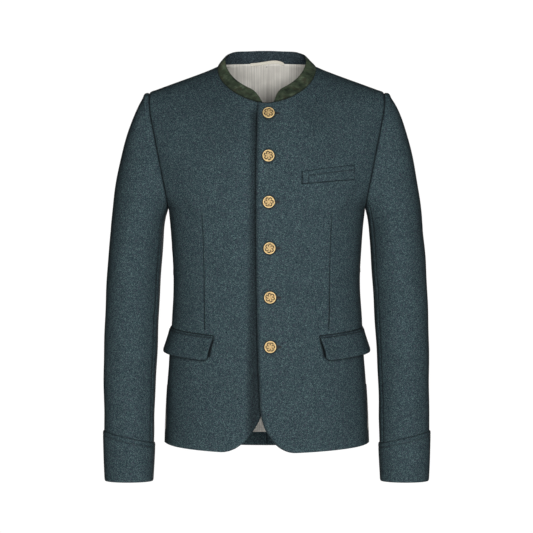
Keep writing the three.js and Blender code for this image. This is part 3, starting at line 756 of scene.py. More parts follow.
@dataclass
class Armhole:
    """The seam between body and sleeve as a closed ring of points, column 0 at the underarm."""

    form: BodyForm
    steps: int = 80
    start_under: float = 10 * MM
    start_top: float = 85 * MM

    def turns(self) -> Array:
        """Angle of each column round the sleeve: underarm, front, shoulder, back."""
        return np.linspace(0, 2 * math.pi, 2 * self.steps, endpoint=False)

    def points(self, turns: Array) -> Array:
        """Points of the seam at angles round the sleeve.

        The height climbs from underarm to shoulder tip as half a cosine, and the place follows
        the seam's front view, on the front surface for the first half and the back's after it.
        """
        form, tip = self.form, self.form.shoulder_tip_x
        climb = (1 - np.cos(turns)) / 2
        z = mix(form.underarm_z, form.ridge_z(tip), climb)
        seam_x = mix(form.armhole_x(z), tip, climb**8)
        x = mix(seam_x, tip, climb**2)
        front = form.point(x, z, Side.FRONT)
        back = form.point(x, z, Side.BACK)
        return np.where((turns % (2 * math.pi) <= math.pi)[:, None], front, back)

    def leave(self, turns: Array) -> Array:
        """Unit directions in which the sleeve leaves the seam: outward, down and a little forward."""
        sideways = np.abs(np.sin(turns))
        return unit(np.stack([np.ones_like(turns), -0.35 * np.sin(turns), -0.25 - 0.25 * sideways], axis=-1))

    def mitres(self, body_out: Array) -> Array:
        """Outward directions along which body and sleeve stay joined.

        The sum of both outward normals over one plus their product, whose offset by a
        thickness meets both walls' own offsets.

        Args:
            body_out: body normals round the ring.

        Returns:
            Vectors a little longer than 1.
        """
        turns = self.turns()
        ring = self.points(turns)
        step = np.roll(ring, -1, axis=0) - np.roll(ring, 1, axis=0)
        sleeve_out = unit(np.cross(self.leave(turns), step))
        body_out = body_out.copy()
        for column in (0, self.steps):
            for normals in (sleeve_out, body_out):
                normals[column, 1] = 0
                normals[column] = unit(normals[column])
        product = np.sum(sleeve_out * body_out, axis=-1, keepdims=True)
        return (sleeve_out + body_out) / (1 + product)


@dataclass
class Body:
    """Fronts and backs, with the seams, darts and folds that show on them."""

    form: BodyForm
    wall: float = 2.2 * MM
    underlap_gap: float = 0.9 * MM
    underlap_flat: float = 21 * MM
    underlap_end: float = 52 * MM
    right_edge_x: float = -12 * MM
    left_edge_x: Curve = field(default_factory=lambda: table_curve(LEFT_FRONT_EDGE, 1))
    left_corner: Corner = Corner(63 * MM, 88 * MM)
    right_corner: Corner = Corner(95 * MM, 185 * MM)

    def __post_init__(self) -> None:
        """Work out the three grids and the directions that they share at the armhole."""
        dart = Dart(DART_LINE[-1][0] * MM, DART_LINE[0][0] * MM, table_curve(DART_LINE, 1))
        self.panels = {
            "front_left": Panel(self.form, Side.FRONT, self.left_edge_x, -15.6 * MM, self.left_corner, dart),
            "front_right": Panel(
                self.form, Side.FRONT, lambda z: np.full_like(z, self.right_edge_x), self.right_edge_x,
                self.right_corner, dart,
            ),
            "back": Panel(self.form, Side.BACK, np.zeros_like, 0.0),
        }
        self.grids = {name: panel.grid() for name, panel in self.panels.items()}
        self.normals = {
            name: self.form.normals(grid, self.panels[name].side) for name, grid in self.grids.items()
        }
        self.grids["front_right"] = self.pushed_under(self.grids["front_right"])
        self.armhole = Armhole(self.form)
        count = self.armhole.steps
        climbing = self.normals["front_left"][-count - 1 :, -1]
        falling = self.normals["back"][-count - 1 :, 0][::-1]
        self.mitres = self.armhole.mitres(np.concatenate([climbing, falling[1:-1]]))

    def pushed_under(self, grid: Array) -> Array:
        """Right front moved back behind the left one, by a wall and a gap where they overlap."""
        share = 1 - ease(grid[..., 0], self.underlap_flat, self.underlap_end)
        moved = grid.copy()
        moved[..., 1] += share * (self.wall + self.underlap_gap)
        return moved

    def joined_out(self, name: str) -> Array:
        """Normals of a panel, turned near the armhole to the direction that the sleeve shares."""
        out = self.normals[name].copy()
        count = self.armhole.steps
        if name == "back":
            border, column = Border.FIRST, 0
            shared = np.concatenate([self.mitres[:1], self.mitres[count:][::-1]])
        else:
            border, shared, column = Border.LAST, self.mitres[: count + 1], -1
        weight = bump(border_distance(self.grids[name], border)[-count - 1 :], 9 * MM)[..., None]
        own = out[-count - 1 :]
        shift = shared - own[:, column]
        out[-count - 1 :] = own + weight * shift[:, None, :]
        return out

    def shaped(self, name: str, folds: Sequence[Fold], seed: float) -> Wall:
        """Wall of a panel with its seams rolled in, its dart sunk, its folds raised and painted shade along
        seams and dart.
        """
        grid, panel = self.grids[name], self.panels[name]
        borders = [Border.TOP, Border.FIRST, Border.LAST] if name == "back" else [Border.TOP, Border.LAST]
        height = sum(seam_roll(border_distance(grid, border)) for border in borders)
        # Painted shade along the sewn seams.
        pressed = sum(SEWN_SHADE * bump(border_distance(grid, border), SEWN_LINE) for border in borders)
        x, z = grid[..., 0], grid[..., 2]
        if panel.dart:
            off = x - panel.dart.places(z)
            run = ease(z, panel.dart.bottom, panel.dart.bottom + 6 * MM)
            run = run * (1 - ease(z, panel.dart.top - 25 * MM, panel.dart.top))
            groove = bump(off, panel.dart.width) - 0.25 * bump(np.abs(off) - 5 * MM, 4 * MM)
            height = height - panel.dart.depth * groove * run
            low = 1 - ease(z, panel.dart.bottom, panel.dart.bottom + 130 * MM)
            # Painted shade along the dart, darker toward its lower end.
            pressed = pressed + (0.65 + 0.45 * low) * bump(off, 0.9 * MM) * run
        fade = 1 - np.exp(-border_distance(grid, borders[-1]) / (25 * MM))
        fade = fade * (1 - np.exp(-border_distance(grid, Border.TOP) / (20 * MM)))
        height = height + fade * (fold_height(folds, x, z) + uneven(x, z, seed, 0.55 * MM))
        wall = Wall(grid, self.joined_out(name), self.wall, pressed=pressed, rim_pressed=0.7)
        return wall.raised(height)


# Sleeves and cuffs


@dataclass
class Sleeve:
    """Two-piece sleeve, from the armhole to the cuff, as a ring of columns on each row."""

    armhole: Armhole
    wall: float = 2.2 * MM
    biceps_z: float = -290 * MM
    end_z: float = -729.5 * MM
    cap_rows: int = 64
    rows: int = 112
    under_front: float = 2 / 24
    under_back: float = 4 / 24
    end_under: float = 40 * MM
    end_top: float = 330 * MM
    inner: Curve = field(default_factory=lambda: table_curve(SLEEVE_LEVELS, 1))
    outer: Curve = field(default_factory=lambda: table_curve(SLEEVE_LEVELS, 2))
    middle_y: Curve = field(default_factory=lambda: table_curve(SLEEVE_LEVELS, 3))
    half_depth: Curve = field(default_factory=lambda: table_curve(SLEEVE_LEVELS, 4))

    def ring(self, z: Array, turns: Array) -> Array:
        """Points of level ellipses, angle 0 on the inner side and a quarter turn in front."""
        inner, outer = self.inner(z), self.outer(z)
        x = (inner + outer) / 2 - (outer - inner) / 2 * np.cos(turns)
        y = self.middle_y(z) - self.half_depth(z) * np.sin(turns)
        return np.stack(np.broadcast_arrays(x, y, z), axis=-1)

    def grid(self, turns: Array) -> Array:
        """Rows from cuff end to armhole at the given angles.

        Below the biceps the rows are level ellipses. The head above it is a cubic from each
        point of the armhole to the biceps, with set directions and strengths at both ends.
        """
        z = np.linspace(self.end_z, self.biceps_z, self.rows)[:, None]
        lower = self.ring(z, turns[None, :])
        share = np.linspace(1, 0, self.cap_rows + 1)[1:]
        near_seam = np.array([2, 4, 8, 13, 20, 30]) / 1000
        share = finer(0.75 * share[::-1] + 0.25 * share[::-1] ** 2, [0], near_seam)
        share = share[::-1, None, None]
        height = ((1 - np.cos(turns)) / 2)[None, :, None]
        start = self.armhole.points(turns)[None]
        strength = mix(self.armhole.start_under, self.armhole.start_top, height)
        leave = self.armhole.leave(turns)[None] * strength
        arrive = np.array([0.05, 0.0, -1.0]) * mix(self.end_under, self.end_top, height)
        end = self.ring(np.array(self.biceps_z), turns)[None]
        head = (
            start * (2 * share**3 - 3 * share**2 + 1)
            + leave * (share**3 - 2 * share**2 + share)
            + end * (3 * share**2 - 2 * share**3)
            + arrive * (share**3 - share**2)
        )
        return np.concatenate([lower, head])

    def wall_of(self, first: float, last: float, mitres: Array, folds: Sequence[Fold], seed: float) -> Wall:
        """Wall of the piece between two shares of the turn round the sleeve.

        Args:
            first: share of the turn at the first column.
            last: share of the turn at the last column.
            mitres: directions shared with the body round the armhole.
            folds: folds, placed by length round the sleeve and by height.
            seed: start of the unevenness.

        Returns:
            The wall, its seams rolled in, its folds raised and painted shade along its seams.
        """
        count = 2 * self.armhole.steps
        shares = finer(
            np.arange(round(first * count), round(last * count) + 1) / count,
            [first, last], np.array([-8, -4.5, -2.4, -1, 1, 2.4, 4.5, 8]) / 1000,
        )
        turns = shares * 2 * math.pi
        grid = self.grid(turns)
        out = grid_normals(grid)
        ring = np.concatenate([mitres, mitres[:1]])
        places = (shares % 1.0) * count
        shared = np.stack([np.interp(places, np.arange(count + 1), ring[:, i]) for i in range(3)], axis=-1)
        top = border_distance(grid, Border.TOP)
        weight = bump(top, 9 * MM)[..., None]
        out = out + weight * (shared - out[-1])[None]
        rope = 2.2 * MM * bump(top - 8 * MM, 6 * MM) * ease(-np.cos(turns), 0.2, 0.9)
        height = seam_roll(top) + rope
        # Painted shade along the armhole seam and both sleeve seams.
        pressed = SEWN_SHADE * bump(top, SEWN_LINE)
        for border in (Border.FIRST, Border.LAST):
            from_seam = border_distance(grid, border)
            height = height + seam_roll(from_seam, 1.0 * MM) * (1 - np.exp(-top / (12 * MM)))
            pressed = pressed + 0.8 * bump(from_seam, SEWN_LINE)
        across, z = np.broadcast_to(shares * 24, grid.shape[:2]), grid[..., 2]
        free = (1 - np.exp(-top / (22 * MM))) * ease(z, -652 * MM, -610 * MM)
        run = across * 14 * MM
        height = height + free * (fold_height(folds, run, z) + uneven(run, z, seed, 0.7 * MM))
        return Wall(grid, out, self.wall, pressed=pressed).raised(height)


@dataclass
class Cuff:
    """Applied cuff round the end of a sleeve, its top edge slanting down to the inner side."""

    sleeve: Sleeve
    gap: float = 0.4 * MM
    wall: float = 1.8 * MM
    bottom_z: float = -731.5 * MM
    middle_top_z: float = -654.5 * MM
    slant: float = 10.5 * MM
    stitch_drop: float = 8 * MM
    columns: int = 168
    rows: int = 40

    def wall_of(self) -> Wall:
        """Wall of the cuff: the sleeve's level ellipses moved out, its edges a little rounded, painted shade
        along its top edge and stitch line.
        """
        turns = np.linspace(0, 2 * math.pi, self.columns, endpoint=False)[None, :]
        share = np.linspace(0, 1, self.rows)[:, None]
        share = mix(share, (1 - np.cos(share * math.pi)) / 2, 0.7)
        top = self.middle_top_z - self.slant * np.cos(turns)
        z = mix(self.bottom_z, top, share)
        grid = self.sleeve.ring(z, turns)
        run = top - self.bottom_z
        line = bump((1 - share) * run - self.stitch_drop, 1 * MM)
        # Painted shade along the stitch line and the top edge.
        pressed = 0.5 * line + 0.5 * bump((1 - share) * run, 1.2 * MM)
        wall = Wall(grid, grid_normals(grid, True), self.wall, True, pressed, 0.7)
        edge = np.minimum(share, 1 - share) * run
        round_off = -0.9 * MM * np.exp(-edge / (1.5 * MM))
        wave = uneven(turns * 45 * MM, z, 2.3, 0.3 * MM)
        return wall.raised(self.gap + self.wall + round_off - 0.5 * MM * line + wave)

    def stitch_line(self) -> tuple[Array, Array]:
        """Line of stitches round the cuff below its top edge."""
        turns = np.linspace(0, 2 * math.pi, 361)
        z = self.middle_top_z - self.slant * np.cos(turns) - self.stitch_drop
        out = np.stack([-np.cos(turns), -np.sin(turns), np.zeros_like(turns)], axis=-1)
        return self.sleeve.ring(z, turns) + out * (self.gap + self.wall - 0.2 * MM), out


# The collar, the lining and the hanger loop


@dataclass
class Collar:
    """Stand-up collar: suede outside, cloth inside, with rounded front ends."""

    body: Body
    right_end: float = 8 * MM
    left_end: float = 13 * MM
    top_half_width: float = 73 * MM
    top_start: float = 12 * MM
    side_z: float = 19 * MM
    front_drop: float = 66 * MM
    back_rise: float = 15 * MM
    front_y: float = -77 * MM
    back_y: float = 58 * MM
    depth_power: float = 0.9
    back_squareness: float = 2.8
    lean: float = 2 * MM
    wall: float = 1.5 * MM
    gap: float = 0.4 * MM
    end_share: float = 0.52
    end_round: float = 14 * MM
    rows: int = 34

    def seam(self) -> Array:
        """Neck seam from the left front's end, round the back, to the right front's end."""
        form, panels = self.body.form, self.body.panels
        turn = np.linspace(0, math.pi / 2, 400)
        fronts = []
        for name, end in (("front_right", self.right_end), ("front_left", self.left_end)):
            first = math.asin(end / form.neck_half_width)
            x = form.neck_half_width * np.sin(mix(first, math.pi / 2, turn / (math.pi / 2)))
            points = form.point(x, panels[name].neck_or_ridge(x), Side.FRONT)
            fronts.append(self.body.pushed_under(points) if name == "front_right" else points)
        x = form.neck_half_width * np.sin(turn)
        back = form.point(x, panels["back"].neck_or_ridge(x), Side.BACK)
        line = np.concatenate([fronts[1], back[-2::-1], back[1:] * MIRROR, fronts[0][-2::-1] * MIRROR])
        return evenly_spaced(line, 2.2 * MM)

    def top(self, seam: Array) -> Array:
        """Top edge above each point of the neck seam: an opening drawn in toward the neck."""
        front = seam[:, 1] <= 0
        across = np.abs(seam[:, 0]) / self.body.form.neck_half_width
        x = np.where(front, mix(self.top_start, self.top_half_width, across), self.top_half_width * across)
        share = np.minimum(x / self.top_half_width, 1)
        at_front = np.sqrt(1 - share**self.body.form.neck_roundness)
        rounded = np.where(front, at_front, (1 - share**self.back_squareness) ** (1 / self.back_squareness))
        z = self.side_z + np.where(front, -self.front_drop, self.back_rise) * rounded
        y = np.where(front, self.front_y, self.back_y) * rounded**self.depth_power
        return np.stack([np.sign(seam[:, 0]) * x - self.lean, y, z], axis=-1)

    def grid(self) -> Array:
        """Rows from just behind the neck seam to the top, lower toward both rounded ends."""
        line = self.seam()
        seam, top = eased_line(line, 6), eased_line(self.top(line), 6)
        run = line_run(seam)
        from_end = np.minimum(run, run[-1] - run)
        inward = np.clip(from_end / self.end_round, 0, 1)
        height = self.end_share + (1 - self.end_share) * np.sqrt(1 - (1 - inward) ** 2)
        share = np.linspace(0, 1, self.rows)
        share = mix(share, (1 - np.cos(share * math.pi)) / 2, 0.6)
        share = np.concatenate([[-0.05], share])
        return mix(seam[None], top[None], (share[:, None] * height[None])[..., None])

    def walls(self) -> tuple[Wall, Wall]:
        """Outer and inner wall, the outer one bowed a little, rolled over the top edge and given painted
        shade along the neck seam and away from its top edge.
        """
        grid = self.grid()
        out = grid_normals(grid)
        top = border_distance(grid, Border.TOP)
        seam = border_distance(grid, Border.BOTTOM)
        ends = end_distance(grid)
        bow = 0.8 * MM * np.sin(math.pi * np.clip(seam / np.maximum(seam + top, 1 * MM), 0, 1))
        rolled = 0.5 * MM * np.exp(-np.minimum(top, ends) / (1.6 * MM))
        height = bow - 0.9 * MM * np.exp(-seam / (2 * MM)) - rolled
        x, z = grid[..., 0], grid[..., 2]
        height = height + uneven(x * 1.5, z + grid[..., 1], 4.2, 0.28 * MM) * (1 - np.exp(-ends / (9 * MM)))
        # Painted shade: dark along the neck seam, and darker away from the top edge, so that the top edge
        # looks lit.
        pressed = 0.75 * bump(seam, 2.5 * MM) + 0.35 * ease(top, 3 * MM, 22 * MM)
        outer = Wall(grid, out, self.wall, pressed=pressed).raised(height)
        inner_grid = grid - out * (self.wall + self.gap)
        inner = Wall(inner_grid, out, self.wall).raised(-0.4 * MM * np.exp(-top / (2 * MM)))
        return outer, inner


@dataclass
class Inside:
    """What shows inside the neck and at the notch: back lining and hanger loop."""

    body: Body
    hem_z: float = -655 * MM
    ease_in: float = 2.6 * MM
    neck_raise: float = 4.6 * MM
    neck_forward: float = 3.6 * MM
    shoulder_drop: float = 5 * MM
    wall: float = 1.0 * MM
    loop_from: float = -29 * MM
    loop_to: float = 31 * MM
    loop_foot: float = 7 * MM
    loop_rise: float = 4.6 * MM
    loop_width: float = 5 * MM
    loop_y: float = 48.6 * MM
    loop_stand: float = 3 * MM
    loop_wall: float = 1.0 * MM

    def lining(self) -> Wall:
        """Lining of the whole back, set in from the cloth, with a soft pleat down the middle."""
        form, panel = self.body.form, self.body.panels["back"]
        grid = panel.grid()[:, ::-1]
        rows = grid[:, 0, 2] > self.hem_z
        kept = grid[rows][::2, :-4:2]
        out = -grid_normals(kept)
        out[:, 0] = unit(out[:, 0] * np.array([0.0, 1.0, 1.0]))
        whole = np.concatenate([kept[:, :0:-1], kept * MIRROR], axis=1)
        faces = np.concatenate([out[:, :0:-1], out * MIRROR], axis=1)
        behind = self.body.wall + self.ease_in
        top = border_distance(whole, Border.TOP)
        free = 1 - np.exp(-top / (40 * MM))
        x, z = whole[..., 0], whole[..., 2]
        pleat = 0.5 * MM * bump(x - 1 * MM, 5 * MM) - 0.5 * MM * bump(x + 3 * MM, 3 * MM)
        relief = (pleat + uneven(x * 1.4, z, 1.1, 0.5 * MM)) * free
        inner = whole - faces * (behind + self.wall + relief)[..., None]
        inner[-1] = whole[-1] - faces[-1] * behind
        at_neck = 1 - ease(np.abs(x), form.neck_half_width - 8 * MM, form.neck_half_width + 4 * MM)
        inner[..., 2] += mix(-self.shoulder_drop, self.neck_raise, at_neck) * np.exp(-top / (12 * MM))
        inner[..., 1] -= self.neck_forward * at_neck * np.exp(-top / (18 * MM))
        return Wall(inner[:, ::-1], -faces[:, ::-1], self.wall)

    def loop(self) -> Wall:
        """Hanger loop: a tape bowed up and forward between its two ends."""
        share = np.linspace(0, 1, 80)[None, :]
        across = np.array([0, 0.04, 0.12, 0.3, 0.5, 0.7, 0.88, 0.96, 1])[:, None]
        bow = np.sin(share**2.1 * math.pi) ** 0.8
        x = mix(self.loop_from, self.loop_to, share) + 0 * across
        z = self.loop_foot + self.loop_rise * bow + across * self.loop_width
        y = self.loop_y - self.loop_stand * bow - 0.3 * MM * np.sin(across * math.pi)
        grid = np.stack(np.broadcast_arrays(x, y, z), axis=-1)
        return Wall(grid, grid_normals(grid), self.loop_wall)


# Pockets, stitching and buttons


def on_front(form: BodyForm, x: Array, z: Array, distance: Array) -> tuple[Array, Array]:
    """Points moved out of the front by a distance, and the directions out of it."""
    out = form.out_of_front(x, z)
    return form.point(x, z, Side.FRONT) + out * np.asarray(distance)[..., None], out


@dataclass
class Welt:
    """Chest pocket welt on the wearer's left front."""

    form: BodyForm
    inner_x: float = 61 * MM
    outer_x: float = 152 * MM
    inner_top: float = -188.6 * MM
    outer_top: float = -176 * MM
    inner_bottom: float = -209.7 * MM
    outer_bottom: float = -201 * MM
    gap: float = 0.9 * MM
    wall: float = 2 * MM
    stitch_inset: float = 11 * MM
    stitch_drop: float = 8 * MM

    def place(self, along_share: Array, up_share: Array) -> tuple[Array, Array]:
        """Front-view place at shares of the welt's length and height."""
        x = mix(self.inner_x, self.outer_x, along_share)
        top = mix(self.inner_top, self.outer_top, along_share)
        bottom = mix(self.inner_bottom, self.outer_bottom, along_share)
        return np.broadcast_arrays(x, mix(bottom, top, up_share))

    def wall_of(self) -> Wall:
        """Wall of the welt, its edges rounded, its stitched line sunk and painted shade along its line, ends
        and bottom edge.
        """
        across = finer(np.linspace(0, 1, 90), [0, 1], np.array([-20, -9, -4, 4, 9, 20]) / 1000)[None, :]
        up = finer(np.linspace(0, 1, 34), [0, 1], np.array([-60, -25, 25, 60]) / 1000)[:, None]
        x, z = self.place(across, up)
        grid, out = on_front(self.form, x, z, np.full(x.shape, self.gap + self.wall))
        ends = end_distance(grid)
        edges = np.minimum(border_distance(grid, Border.TOP), border_distance(grid, Border.BOTTOM))
        height = -0.9 * MM * np.exp(-np.minimum(ends, edges) / (1.2 * MM))
        height = height + uneven(x * 2, z * 2, 3.0, 0.15 * MM)
        from_left = border_distance(grid, Border.FIRST) - self.stitch_inset
        from_top = border_distance(grid, Border.TOP) - self.stitch_drop
        upright = bump(from_left, 0.9 * MM) * ease(from_top, -1 * MM, 0)
        level = bump(from_top, 0.9 * MM) * ease(from_left, -1 * MM, 0)
        line = np.maximum(upright, level)
        # Painted shade along the stitch line, both ends and the bottom edge.
        outline = np.maximum(bump(ends, 1.2 * MM), bump(border_distance(grid, Border.BOTTOM), 1 * MM))
        pressed = 0.55 * line + 0.8 * outline
        return Wall(grid, out, self.wall, pressed=pressed, rim_pressed=0.85).raised(height - 0.6 * MM * line)

    def stitch_line(self) -> tuple[Array, Array]:
        """Line of stitches up the welt near its inner end, then along below its top edge."""
        share = self.stitch_inset / (self.outer_x - self.inner_x)
        turn_up = 1 - self.stitch_drop / (self.inner_top - self.inner_bottom)
        across = np.concatenate([np.full(20, share), np.linspace(share, 0.985, 80)[1:]])
        up = np.concatenate([np.linspace(0.06, turn_up, 20), np.linspace(turn_up, 0.68, 80)[1:]])
        x, z = self.place(across, up)
        return on_front(self.form, x, z, np.full(x.shape, self.gap + self.wall - 0.35 * MM))


@dataclass
class Flap:
    """Hip pocket flap, hung from its top seam and standing off a little below."""

    form: BodyForm
    top_start: float = 32.7
    bottom_start: float = 36.0
    end: float = 89.0
    inner_top: float = -474 * MM
    outer_top: float = -459 * MM
    height: float = 44 * MM
    gap: float = 0.4 * MM
    wall: float = 2.4 * MM
    stand_front: float = 5 * MM
    stand_side: float = 10 * MM
    curl: float = 6 * MM
    corner_share: float = 0.87
    corner_reach: float = 0.1
    stitch_drop: float = 4.0 * MM
    wedge_inset: float = 1.6 * MM
    wedge_width: float = 1.4 * MM
    wedge_flare: float = 2.6 * MM
    wedge_shade: float = 2.0
    lower_reach: float = 4 * MM
    lower_shade: float = 0.5

    def surface(self, across: Array, down: Array, distance: float) -> tuple[Array, Array]:
        """Points of the flap at shares of its length round the body and of its height."""
        rounded = np.clip(across / self.corner_reach, 0, 1)
        end = self.corner_share + (1 - self.corner_share) * np.sqrt(1 - (1 - rounded) ** 2)
        down = down * end
        start = mix(self.top_start, self.bottom_start, down)
        turn = np.radians(mix(start, self.end, across))
        z = mix(self.inner_top, self.outer_top, across) - self.height * down
        x = self.form.closing_width(z) * np.sin(turn)
        return on_front(self.form, x, z, distance + self.stand(across, down))

    def stand(self, across: Array, down: Array) -> Array:
        """Distance by which the flap stands off, with a curl at its front edge."""
        stand = down**1.2 * mix(self.stand_front, self.stand_side, across**2)
        return stand + self.curl * bump(across, 0.12) * np.sin(math.pi * np.clip(down, 0, 1) ** 1.3)

    def wall_of(self) -> Wall:
        """Wall of the flap, sunk at its top seam, rounded at its edges and given painted shade along seam,
        stitch line and edges.
        """
        across = finer(np.linspace(0, 1, 110), [0, 1], np.array([-14, -7, -3, 3, 7, 14]) / 1000)[None, :]
        down = finer(np.linspace(1, 0, 44)[::-1], [0, 1], np.array([-50, -20, 20, 50]) / 1000)
        down = finer(down, [self.stitch_drop / self.height], np.linspace(-30, 30, 9) / 1000)[::-1][:, None]
        grid, out = self.surface(across, down, self.gap + self.wall)
        edge = np.minimum(end_distance(grid), border_distance(grid, Border.BOTTOM))
        top = border_distance(grid, Border.TOP)
        height = -0.8 * MM * np.exp(-edge / (1.5 * MM)) - 1.4 * MM * np.exp(-((top / (3 * MM)) ** 2))
        line = bump(top - self.stitch_drop, 1.0 * MM)
        height = height - 0.6 * MM * line
        # Painted shade along the top seam, the stitch line and the edges.
        pressed = 0.9 * bump(top, 1.3 * MM) + 0.85 * line + 0.5 * bump(edge, 0.9 * MM)
        wave = uneven(grid[..., 0] * 1.6, grid[..., 2], 2.0, 0.35 * MM)
        height = height + wave * ease(top, 8 * MM, 25 * MM)
        return Wall(grid, out, self.wall, pressed=pressed, rim_pressed=0.9).raised(height)

    def painted_shadow(self, grid: Array) -> Array:
        """Share of painted shadow on a front beside the flap's front and lower edges.

        A bell beside the front edge, which widens downward, and half a bell that fades below the
        lower edge.

        Args:
            grid: points of a front, rows by columns by 3.

        Returns:
            Shares, over 1 where the bell is fullest. The wall's mesh clips them to 1.
        """
        x, z = grid[..., 0], grid[..., 2]
        flap = self.wall_of().grid
        front, lower = flap[:, 0], flap[0]
        down = np.clip((front[-1, 2] - z) / self.height, 0, 1)
        edge = np.interp(z, front[:, 2], front[:, 0])
        width = self.wedge_width + self.wedge_flare * down
        wedge = bump(x - edge + self.wedge_inset, width) * ease(down, 0, 0.3)
        wedge = wedge * ease(z, front[0, 2] - 2 * MM, front[0, 2] + 3 * MM)
        below = np.interp(x, lower[:, 0], lower[:, 2]) - z
        soft = bump(below, self.lower_reach) * ease(below, -self.lower_reach, 0)
        soft = soft * ease(x, lower[0, 0] - 3 * MM, lower[0, 0] + 5 * MM)
        return self.wedge_shade * wedge + self.lower_shade * soft

    def stitch_line(self) -> tuple[Array, Array]:
        """Line of stitches just below the top seam."""
        across = np.linspace(0.035, 0.985, 120)
        down = np.full_like(across, self.stitch_drop / self.height)
        return self.surface(across, down, self.gap + self.wall - 0.35 * MM)


@dataclass(frozen=True)
class Thread:
    """Lockstitch: each stitch a short capsule that dips into the cloth at both ends."""

    pitch: float = 3.0 * MM
    share: float = 0.8
    radius: float = 0.28 * MM
    rings: int = 7
    sides: int = 6

    def along(self, points: Array, out: Array) -> tuple[Array, Array]:
        """Vertices and quads of stitches laid along one line.

        Each stitch is a bent capsule: its radius follows the root of a parabola and its middle
        rises a little from both ends.

        Args:
            points: points of the line.
            out: directions out of the cloth at them.

        Returns:
            Vertices by 3 and faces by 4.
        """
        run = line_run(points)
        count = max(int(run[-1] / self.pitch), 1)
        starts = (np.arange(count) + (1 - self.share) / 2) * run[-1] / count
        length = run[-1] / count * self.share
        share = np.linspace(0, 1, self.rings)[None, :]
        places = (starts[:, None] + share * length).ravel()
        middle = np.stack([np.interp(places, run, points[:, i]) for i in range(3)], axis=-1)
        up = unit(np.stack([np.interp(places, run, out[:, i]) for i in range(3)], axis=-1))
        ahead = unit(np.gradient(middle.reshape(count, self.rings, 3), axis=1)).reshape(-1, 3)
        side = unit(np.cross(ahead, up))
        bow = np.tile(4 * share * (1 - share), (count, 1)).ravel()[:, None]
        radius = self.radius * np.sqrt(np.clip(bow, 0.02, 1))
        middle = middle + up * self.radius * (1.3 * bow - 0.5)
        turn = np.linspace(0, 2 * math.pi, self.sides, endpoint=False)
        ring = np.cos(turn)[:, None] * side[:, None] + np.sin(turn)[:, None] * up[:, None]
        vertices = middle[:, None] + ring * radius[:, None]
        index = np.arange(len(middle) * self.sides).reshape(count, self.rings, self.sides)
        around = np.roll(index, -1, axis=2)
        quads = [index[:, :-1], index[:, 1:], around[:, 1:], around[:, :-1]]
        faces = np.stack(quads, axis=-1).reshape(-1, 4)
        first, last = index[:, 0], index[:, -1, ::-1]
        caps = [np.stack([c[:, 0], c[:, 1], c[:, 2], c[:, 3]], -1) for c in (first, last)]
        caps += [np.stack([c[:, 0], c[:, 3], c[:, 4], c[:, 5]], -1) for c in (first, last)]
        return vertices.reshape(-1, 3), np.concatenate([faces, *caps])


def stitches(name: str, lines: Sequence[tuple[Array, Array]], thread: Thread = Thread()) -> bpy.types.Object:
    """One piece with the stitches of several lines."""
    points, faces, start = [], [], 0
    for line in lines:
        vertices, quads = thread.along(*line)
        points.append(vertices)
        faces.append(quads + start)
        start += len(vertices)
    return mesh_object(name, np.concatenate(points), np.concatenate(faces))


